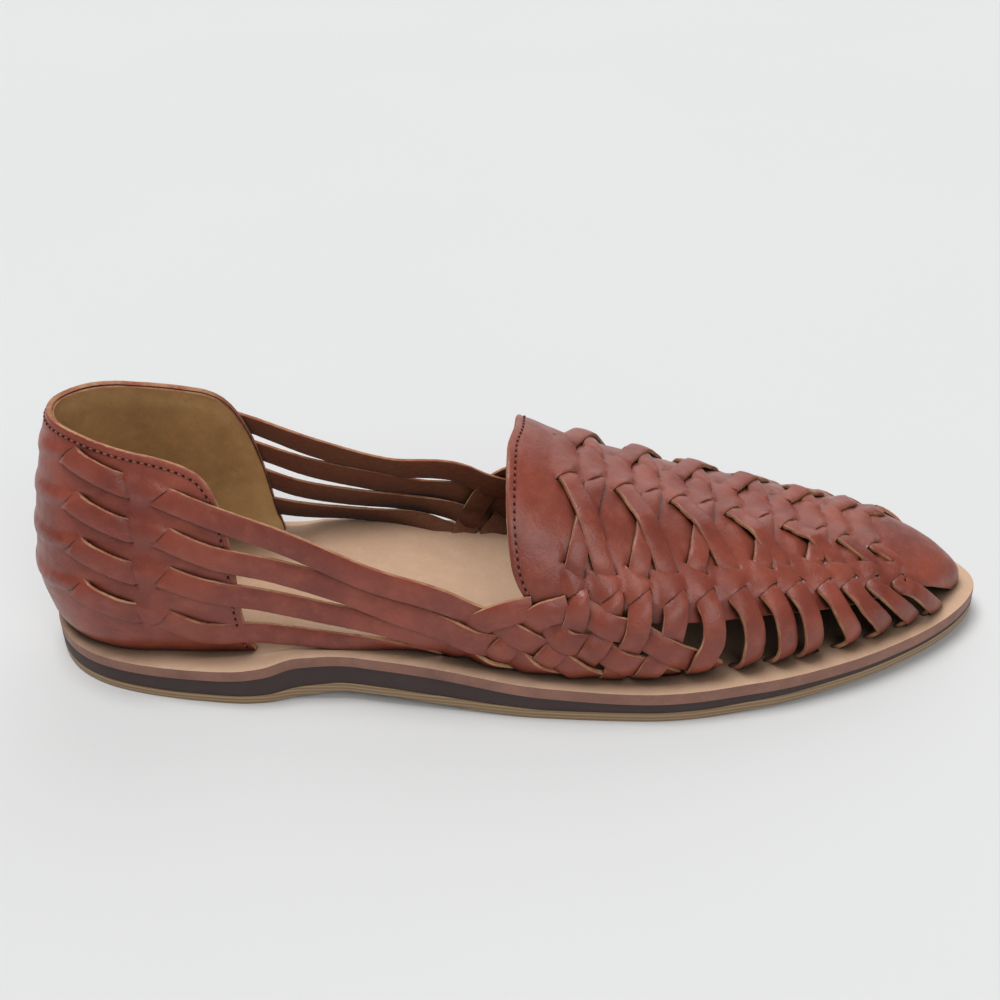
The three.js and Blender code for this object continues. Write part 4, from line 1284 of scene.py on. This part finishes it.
def leather_grain():
    """Tanned leather: cloudy dye, fine pores, shallow wrinkles, paler where rubbed; painted shade in folds.
    """
    name = "Leather Grain"
    if name in bpy.data.node_groups:
        return bpy.data.node_groups[name]
    tree, given, result = new_group(
        name,
        (("Dye", "NodeSocketColor", (0.2, 0.08, 0.05, 1)), ("Shade", "NodeSocketColor", (0.1, 0.04, 0.03, 1)),
         ("Bloom", "NodeSocketColor", (0.4, 0.2, 0.15, 1)), ("Pore Scale", "NodeSocketFloat", 1100.0),
         ("Cloud Scale", "NodeSocketFloat", 55.0), ("Bloom Amount", "NodeSocketFloat", 0.3),
         ("Gloss", "NodeSocketFloat", 0.4), ("Fold Reach", "NodeSocketFloat", 0.003),
         ("Fold Dark", "NodeSocketFloat", 0.7)),
        (("Colour", "NodeSocketColor"), ("Roughness", "NodeSocketFloat"), ("Height", "NodeSocketFloat")),
    )
    place = put(tree, "ShaderNodeTexCoord").outputs["Object"]
    cloud = spread(tree, noise(tree, place, given.outputs["Cloud Scale"], 5.0, 0.6), 0.34, 0.68)
    rub = spread(tree, noise(tree, place, 190.0, 6.0, 0.65), 0.5, 0.74)
    pores = put(tree, "ShaderNodeTexVoronoi", {"Vector": place, "Scale": given.outputs["Pore Scale"]},
                feature="SMOOTH_F1").outputs["Distance"]
    fine = noise(tree, place, 900.0, 3.0, 0.6)
    wrinkle = noise(tree, place, 260.0, 5.0, 0.62)
    dyed = mix_colour(tree, cloud, given.outputs["Shade"], given.outputs["Dye"])
    bloomed = mix_colour(tree, calculate(tree, "MULTIPLY", rub, given.outputs["Bloom Amount"]), dyed,
                         given.outputs["Bloom"])
    pit = spread(tree, pores, 0.0, 0.35, 0.82, 1.0)
    pit_colour = put(tree, "ShaderNodeCombineColor", {0: pit, 1: pit, 2: pit}).outputs[0]
    colour = mix_colour(tree, 0.6, bloomed, pit_colour, "MULTIPLY")
    # painted shade in folds and corners, on top of the dye and pores
    colour = painted_fold_shade(tree, colour, given.outputs["Fold Reach"], given.outputs["Fold Dark"])
    tree.links.new(colour, result.inputs["Colour"])
    gloss = calculate(tree, "ADD", given.outputs["Gloss"], spread(tree, wrinkle, 0.3, 0.7, -0.07, 0.1))
    tree.links.new(gloss, result.inputs["Roughness"])
    deep = calculate(tree, "MULTIPLY", wrinkle, 1.6)
    shallow = calculate(tree, "MULTIPLY", fine, 0.35)
    relief = calculate(tree, "ADD", deep, shallow)
    relief = calculate(tree, "ADD", relief, spread(tree, pores, 0.0, 0.4, 0.0, 0.45))
    tree.links.new(relief, result.inputs["Height"])
    return tree


def cut_fibres():
    """The undyed inside of leather: short tangled fibres, some of them stained, and painted shade in folds.
    """
    name = "Cut Fibres"
    if name in bpy.data.node_groups:
        return bpy.data.node_groups[name]
    tree, given, result = new_group(
        name,
        (("Fibre", "NodeSocketColor", (0.5, 0.3, 0.2, 1)), ("Stain", "NodeSocketColor", (0.2, 0.08, 0.05, 1)),
         ("Stain Amount", "NodeSocketFloat", 0.5), ("Fibre Scale", "NodeSocketFloat", 900.0),
         ("Fold Reach", "NodeSocketFloat", 0.002), ("Fold Dark", "NodeSocketFloat", 0.6)),
        (("Colour", "NodeSocketColor"), ("Roughness", "NodeSocketFloat"), ("Height", "NodeSocketFloat")),
    )
    place = put(tree, "ShaderNodeTexCoord").outputs["Object"]
    stretched = put(tree, "ShaderNodeMapping", {"Vector": place, "Scale": (0.5, 0.8, 1.9)}).outputs[0]
    strand = noise(tree, stretched, given.outputs["Fibre Scale"], 4.0, 0.7)
    patch = noise(tree, place, 130.0, 4.0, 0.6)
    stain = calculate(tree, "MULTIPLY", spread(tree, patch, 0.38, 0.66), given.outputs["Stain Amount"])
    base = mix_colour(tree, stain, given.outputs["Fibre"], given.outputs["Stain"])
    deep = spread(tree, strand, 0.3, 0.7, 0.72, 1.1)
    deep_colour = put(tree, "ShaderNodeCombineColor", {0: deep, 1: deep, 2: deep}).outputs[0]
    colour = mix_colour(tree, 1.0, base, deep_colour, "MULTIPLY")
    # painted shade in folds and corners, on top of the fibres
    colour = painted_fold_shade(tree, colour, given.outputs["Fold Reach"], given.outputs["Fold Dark"])
    tree.links.new(colour, result.inputs["Colour"])
    tree.links.new(spread(tree, strand, 0.2, 0.8, 0.78, 0.95), result.inputs["Roughness"])
    tree.links.new(strand, result.inputs["Height"])
    return tree


def new_material(name):
    material = bpy.data.materials.new(name)
    material.use_nodes = True
    tree = material.node_tree
    shader = tree.nodes["Principled BSDF"]
    return material, tree, shader


def finish_with(name, group, values, depth, **shader_values):
    """A material whose colour, roughness and relief come from a node group."""
    if name in bpy.data.materials:
        return bpy.data.materials[name]
    material, tree, shader = new_material(name)
    effect = put(tree, "ShaderNodeGroup", node_tree=group)
    for key, value in values.items():
        effect.inputs[key].default_value = value
    tree.links.new(effect.outputs["Colour"], shader.inputs["Base Color"])
    tree.links.new(effect.outputs["Roughness"], shader.inputs["Roughness"])
    relief = {"Height": effect.outputs["Height"], "Distance": depth, "Strength": 1.0}
    bump = put(tree, "ShaderNodeBump", relief)
    tree.links.new(bump.outputs[0], shader.inputs["Normal"])
    for key, value in shader_values.items():
        shader.inputs[key.replace("_", " ")].default_value = value
    return material


def upper_leather(colours):
    """The upper's three faces: dyed grain, raw cut edge and flesh."""
    # Painted shade darkens the grain within 4.4 mm of folds, slits and places where straps meet the panel.
    grain = finish_with(
        "Waxed upper leather", leather_grain(),
        {"Dye": opaque(colours.upper), "Shade": opaque(colours.upper_shade),
         "Bloom": opaque(colours.upper_bloom), "Pore Scale": 1250.0, "Cloud Scale": 48.0,
         "Bloom Amount": 0.3, "Gloss": 0.36, "Fold Reach": 0.0044, "Fold Dark": 0.88},
        0.0001, Specular_IOR_Level=0.54,
    )
    raw = finish_with(
        "Raw cut edge", cut_fibres(),
        {"Fibre": opaque(colours.raw_edge), "Stain": opaque(colours.upper), "Stain Amount": 0.75,
         "Fibre Scale": 1500.0}, 0.0002, Specular_IOR_Level=0.25,
    )
    # Painted shade reaching 30 mm darkens the flesh side inside the upper, where little light gets in.
    flesh = finish_with(
        "Flesh side", cut_fibres(),
        {"Fibre": opaque(colours.flesh), "Stain": opaque(colours.upper_shade), "Stain Amount": 0.45,
         "Fibre Scale": 1000.0, "Fold Reach": 0.03, "Fold Dark": 0.8},
        0.0002, Specular_IOR_Level=0.2, Sheen_Weight=0.15, Sheen_Roughness=0.5,
    )
    return [grain, raw, flesh]


def lining_leather(colours):
    face = finish_with(
        "Natural lining", leather_grain(),
        {"Dye": opaque(colours.lining), "Shade": opaque([c * 0.72 for c in colours.lining]),
         "Bloom": opaque([min(c * 1.3, 1) for c in colours.lining]),
         "Pore Scale": 1500.0, "Cloud Scale": 40.0, "Bloom Amount": 0.4, "Gloss": 0.58},
        0.00008, Specular_IOR_Level=0.35,
    )
    raw = upper_leather(colours)[RAW]
    return [face, raw, face]


def footbed_leather(colours):
    # Painted shade reaching 45 mm darkens the footbed top nearly to black under the vamp and the counter.
    top = finish_with(
        "Footbed top", leather_grain(),
        {"Dye": opaque(colours.footbed), "Shade": opaque([c * 0.86 for c in colours.footbed]),
         "Bloom": opaque([min(c * 1.15, 1) for c in colours.footbed]), "Pore Scale": 1700.0,
         "Cloud Scale": 22.0, "Bloom Amount": 0.35, "Gloss": 0.55,
         "Fold Reach": 0.045, "Fold Dark": 0.9}, 0.00005, Specular_IOR_Level=0.3,
    )
    side = finish_with(
        "Footbed edge", leather_grain(),
        {"Dye": opaque(colours.footbed_edge), "Shade": opaque([c * 0.7 for c in colours.footbed_edge]),
         "Bloom": opaque([min(c * 1.3, 1) for c in colours.footbed_edge]), "Pore Scale": 900.0,
         "Cloud Scale": 70.0, "Bloom Amount": 0.4, "Gloss": 0.5}, 0.0001, Specular_IOR_Level=0.4,
    )
    return [top, side, side]


def rubber(name, colour, line_colour, line_amount, gloss):
    """Moulded rubber with faint mould lines running level round its side."""
    if name in bpy.data.materials:
        return bpy.data.materials[name]
    material, tree, shader = new_material(name)
    place = put(tree, "ShaderNodeTexCoord").outputs["Object"]
    level = put(tree, "ShaderNodeSeparateXYZ", {0: place}).outputs["Z"]
    shake = calculate(tree, "MULTIPLY", noise(tree, place, 30.0, 2.0), 0.0011)
    wave = calculate(tree, "SINE", calculate(tree, "MULTIPLY", calculate(tree, "ADD", level, shake), 5200.0))
    lines = calculate(tree, "MULTIPLY", spread(tree, wave, 0.1, 0.95), line_amount)
    dust = spread(tree, noise(tree, place, 75.0, 6.0, 0.65), 0.4, 0.75, 0.0, 0.4)
    base = mix_colour(tree, lines, opaque(colour), opaque(line_colour))
    dusty = mix_colour(tree, dust, base, opaque([min(c * 1.25 + 0.01, 1) for c in colour]))
    tree.links.new(dusty, shader.inputs["Base Color"])
    grit = noise(tree, place, 1400.0, 3.0, 0.6)
    tree.links.new(spread(tree, grit, 0.2, 0.8, gloss - 0.08, gloss + 0.12), shader.inputs["Roughness"])
    height = calculate(tree, "ADD", calculate(tree, "MULTIPLY", wave, -0.3 * line_amount), grit)
    bump = put(tree, "ShaderNodeBump", {"Height": height, "Distance": 0.00008, "Strength": 1.0})
    tree.links.new(bump.outputs[0], shader.inputs["Normal"])
    shader.inputs["Specular IOR Level"].default_value = 0.4
    return material


def thread_finish(colours):
    """The stitches, and dark marks at the awl holes they pass through: painted shade of the holes."""
    looks = (("Waxed thread", colours.thread, 0.4), ("Awl hole", colours.awl_hole_shade, 0.05))
    waxed, hole = (
        finish_with(
            name, cut_fibres(),
            {"Fibre": opaque(colour), "Stain": opaque([c * 0.6 for c in colour]), "Stain Amount": 0.4,
             "Fibre Scale": 2600.0, "Fold Dark": 0.0}, 0.00008, Specular_IOR_Level=level,
        )
        for name, colour, level in looks
    )
    return [waxed, hole, hole]


def floor_finish(colours):
    if "Studio floor" in bpy.data.materials:
        return bpy.data.materials["Studio floor"]
    material, tree, shader = new_material("Studio floor")
    place = put(tree, "ShaderNodeTexCoord").outputs["Object"]
    tone = spread(tree, noise(tree, place, 3.0, 2.0), 0.3, 0.7)
    colour = mix_colour(tree, tone, opaque([c * 0.985 for c in colours.floor]), opaque(colours.floor))
    tree.links.new(colour, shader.inputs["Base Color"])
    shader.inputs["Roughness"].default_value = 0.85
    shader.inputs["Specular IOR Level"].default_value = 0.08
    return material


# ---- what a user may change ----
def colour_choice(name, description, value):
    return bpy.props.FloatVectorProperty(
        name=name, description=description, default=srgb(*value), subtype="COLOR", size=3, min=0.0, max=1.0
    )


class SandalSizes(bpy.types.PropertyGroup):
    """Sizes of the sandal's details."""

    stitch_pitch: bpy.props.FloatProperty(
        name="Stitch pitch", description="Distance from one edge stitch to the next", default=0.0023,
        min=0.001, max=0.01, unit="LENGTH",
    )
    tread_depth: bpy.props.FloatProperty(
        name="Tread depth", description="How deep the grooves under the outsole are", default=0.0005,
        min=0.0, max=0.0015, unit="LENGTH",
    )


class SandalColours(bpy.types.PropertyGroup):
    """Colours of the sandal's finishes."""

    upper: colour_choice("Upper", "Dye of the upper's grain side", (147, 70, 52))
    upper_shade: colour_choice("Upper shade", "Darker patches of the upper's dye", (119, 52, 39))
    upper_bloom: colour_choice("Upper bloom", "Rubbed and waxy patches of the upper", (169, 94, 73))
    raw_edge: colour_choice("Raw edge", "Undyed fibres at the cut edges", (192, 146, 110))
    flesh: colour_choice("Flesh side", "Inside face of the straps and panel", (116, 74, 52))
    lining: colour_choice("Lining", "Inside face of the heel counter", (200, 160, 108))
    footbed: colour_choice("Footbed", "Top of the footbed", (216, 178, 148))
    footbed_edge: colour_choice("Footbed edge", "Dyed side of the footbed", (150, 106, 90))
    midsole: colour_choice("Midsole", "Dark middle layer of the sole", (62, 48, 46))
    outsole: colour_choice("Outsole", "Honey coloured ground layer", (136, 110, 84))
    outsole_line: colour_choice("Outsole line", "Mould lines round the outsole", (190, 166, 124))
    thread: colour_choice("Thread", "Edge stitching", (152, 92, 76))
    # painted shade: a dark colour standing in for the shade inside each awl hole
    awl_hole_shade: colour_choice("Awl hole", "Dark holes that the stitches pass through", (70, 34, 27))
    floor: colour_choice("Floor", "Studio floor", (220, 221, 221))


def colours():
    return bpy.context.scene.sandal_colours


def sizes():
    return bpy.context.scene.sandal_sizes


# ---- operators ----
class SANDAL_OT_sole(bpy.types.Operator):
    """Build the footbed, midsole and outsole"""

    bl_idname = "sandal.sole"
    bl_label = "Sole layers"

    def execute(self, context):
        make_footbed(footbed_leather(colours()))
        middle = rubber("Midsole foam", colours().midsole, colours().midsole, 0.0, 0.62)
        make_midsole([middle] * 3)
        ground = rubber("Outsole rubber", colours().outsole, colours().outsole_line, 0.55, 0.5)
        make_outsole([ground] * 3, sizes().tread_depth * 1000)
        return {"FINISHED"}


class SANDAL_OT_panel(bpy.types.Operator):
    """Build the slit leather panel over the forefoot"""

    bl_idname = "sandal.panel"
    bl_label = "Vamp panel"

    def execute(self, context):
        make_panel(upper_leather(colours()))
        return {"FINISHED"}


class SANDAL_OT_straps(bpy.types.Operator):
    """Weave the crossed straps through the panel and down to the footbed"""

    bl_idname = "sandal.straps"
    bl_label = "Woven straps"

    def execute(self, context):
        make_vamp_straps(upper_leather(colours()))
        return {"FINISHED"}


class SANDAL_OT_weave(bpy.types.Operator):
    """Build the close weave at the sides of the instep"""

    bl_idname = "sandal.weave"
    bl_label = "Close weave"

    def execute(self, context):
        make_weave(upper_leather(colours()))
        return {"FINISHED"}


class SANDAL_OT_counter(bpy.types.Operator):
    """Build the heel counter and its lining"""

    bl_idname = "sandal.counter"
    bl_label = "Heel counter"

    def execute(self, context):
        make_counter(upper_leather(colours()))
        make_lining(lining_leather(colours()))
        return {"FINISHED"}


class SANDAL_OT_lacing(bpy.types.Operator):
    """Lace the straps through the heel counter"""

    bl_idname = "sandal.lacing"
    bl_label = "Counter lacing"

    def execute(self, context):
        make_lacing(upper_leather(colours()))
        return {"FINISHED"}


class SANDAL_OT_heel_straps(bpy.types.Operator):
    """Build the straps from the counter to the close weave"""

    bl_idname = "sandal.heel_straps"
    bl_label = "Heel straps"

    def execute(self, context):
        finish = upper_leather(colours())
        make_heel_straps(finish, LATERAL, "straps_to_counter_lateral", "heel_straps_lateral")
        make_heel_straps(finish, MEDIAL, "straps_to_counter_medial", "heel_straps_medial")
        return {"FINISHED"}


class SANDAL_OT_stitching(bpy.types.Operator):
    """Stitch the throat and the counter's top line"""

    bl_idname = "sandal.stitching"
    bl_label = "Edge stitching"

    def execute(self, context):
        make_stitching(thread_finish(colours()), sizes().stitch_pitch * 1000)
        return {"FINISHED"}


class SANDAL_OT_stage(bpy.types.Operator):
    """Set the floor, lights and camera"""

    bl_idname = "sandal.stage"
    bl_label = "Stage"

    def execute(self, context):
        make_stage(context.scene, floor_finish(colours()))
        return {"FINISHED"}


OPERATORS = (
    SANDAL_OT_sole, SANDAL_OT_panel, SANDAL_OT_straps, SANDAL_OT_weave, SANDAL_OT_counter,
    SANDAL_OT_lacing, SANDAL_OT_heel_straps, SANDAL_OT_stitching, SANDAL_OT_stage,
)


class SANDAL_PT_build(bpy.types.Panel):
    """Lists the sandal's sizes, colours and pieces"""

    bl_idname = "SANDAL_PT_build"
    bl_label = "Sandal"
    bl_space_type = "VIEW_3D"
    bl_region_type = "UI"
    bl_category = "Sandal"

    def draw(self, context):
        for settings in (context.scene.sandal_sizes, context.scene.sandal_colours):
            for key in settings.__annotations__:
                self.layout.prop(settings, key)
        for operator in OPERATORS:
            self.layout.operator(operator.bl_idname)


CLASSES = (SandalSizes, SandalColours, *OPERATORS, SANDAL_PT_build)


def register():
    for each in CLASSES:
        bpy.utils.register_class(each)
    bpy.types.Scene.sandal_sizes = bpy.props.PointerProperty(type=SandalSizes)
    bpy.types.Scene.sandal_colours = bpy.props.PointerProperty(type=SandalColours)


def unregister():
    del bpy.types.Scene.sandal_colours
    del bpy.types.Scene.sandal_sizes
    for each in reversed(CLASSES):
        bpy.utils.unregister_class(each)


# ---- stage ----
CAMERA_PLACE = (163.99, -372.34, 274.11)
CAMERA_FORWARD = (-0.0426, 0.8516, -0.5225)
CAMERA_UP = (0.0036, 0.5231, 0.8523)
CAMERA_LENS = 50.4
LAMPS = (
    # name, the way it shines from, how wide it is in degrees, strength
    ("ceiling", (-0.25, 0.1, 1.0), 30.0, 2.0),
    ("window", (0.3, -0.72, 0.66), 42.0, 0.95),
    ("far_wall", (0.1, 0.9, 0.6), 56.0, 0.7),
)
SKY = 0.2
SKY_SEEN = 0.83
FLOOR_REACH = 40.0


def make_stage(scene, finish):
    mesh = bpy.data.meshes.new("studio_floor")
    far = FLOOR_REACH
    mesh.from_pydata([(-far, -far, 0), (far, -far, 0), (far, far, 0), (-far, far, 0)], [], [(0, 1, 2, 3)])
    mesh.materials.append(finish)
    floor = bpy.data.objects.new("studio_floor", mesh)
    scene.collection.objects.link(floor)
    for name, source, width, strength in LAMPS:
        lamp = bpy.data.lights.new(name, "SUN")
        lamp.angle, lamp.energy = math.radians(width), strength
        holder = bpy.data.objects.new(name, lamp)
        holder.rotation_euler = (-Vector(source)).to_track_quat("-Z", "Y").to_euler()
        scene.collection.objects.link(holder)
    world = bpy.data.worlds.new("soft_sky")
    world.use_nodes = True
    tree = world.node_tree
    background = tree.nodes["Background"]
    background.inputs["Color"].default_value = (1.0, 1.0, 1.0, 1.0)
    background.inputs["Strength"].default_value = SKY
    seen = put(tree, "ShaderNodeBackground", {"Strength": SKY_SEEN})
    seen.inputs["Color"].default_value = (1.0, 1.0, 1.0, 1.0)
    ray = put(tree, "ShaderNodeLightPath").outputs["Is Camera Ray"]
    blend = put(tree, "ShaderNodeMixShader", {0: ray, 1: background.outputs[0], 2: seen.outputs[0]})
    tree.links.new(blend.outputs[0], tree.nodes["World Output"].inputs["Surface"])
    scene.world = world
    scene.view_settings.view_transform = "Standard"
    lens = bpy.data.cameras.new("studio_camera")
    lens.lens, lens.sensor_width = CAMERA_LENS, 36.0
    camera = bpy.data.objects.new("studio_camera", lens)
    forward, up = Vector(CAMERA_FORWARD).normalized(), Vector(CAMERA_UP)
    right = forward.cross(up).normalized()
    up = right.cross(forward)
    place = Vector((np.array(CAMERA_PLACE) + ORIGIN) / 1000)
    turn = Matrix((right, up, -forward)).transposed().to_4x4()
    camera.matrix_world = Matrix.Translation(place) @ turn
    scene.collection.objects.link(camera)
    scene.camera = camera


def main():
    register()
    for operator in OPERATORS:
        family, name = operator.bl_idname.split(".")
        getattr(getattr(bpy.ops, family), name)()


if __name__ == "__main__":
    main()
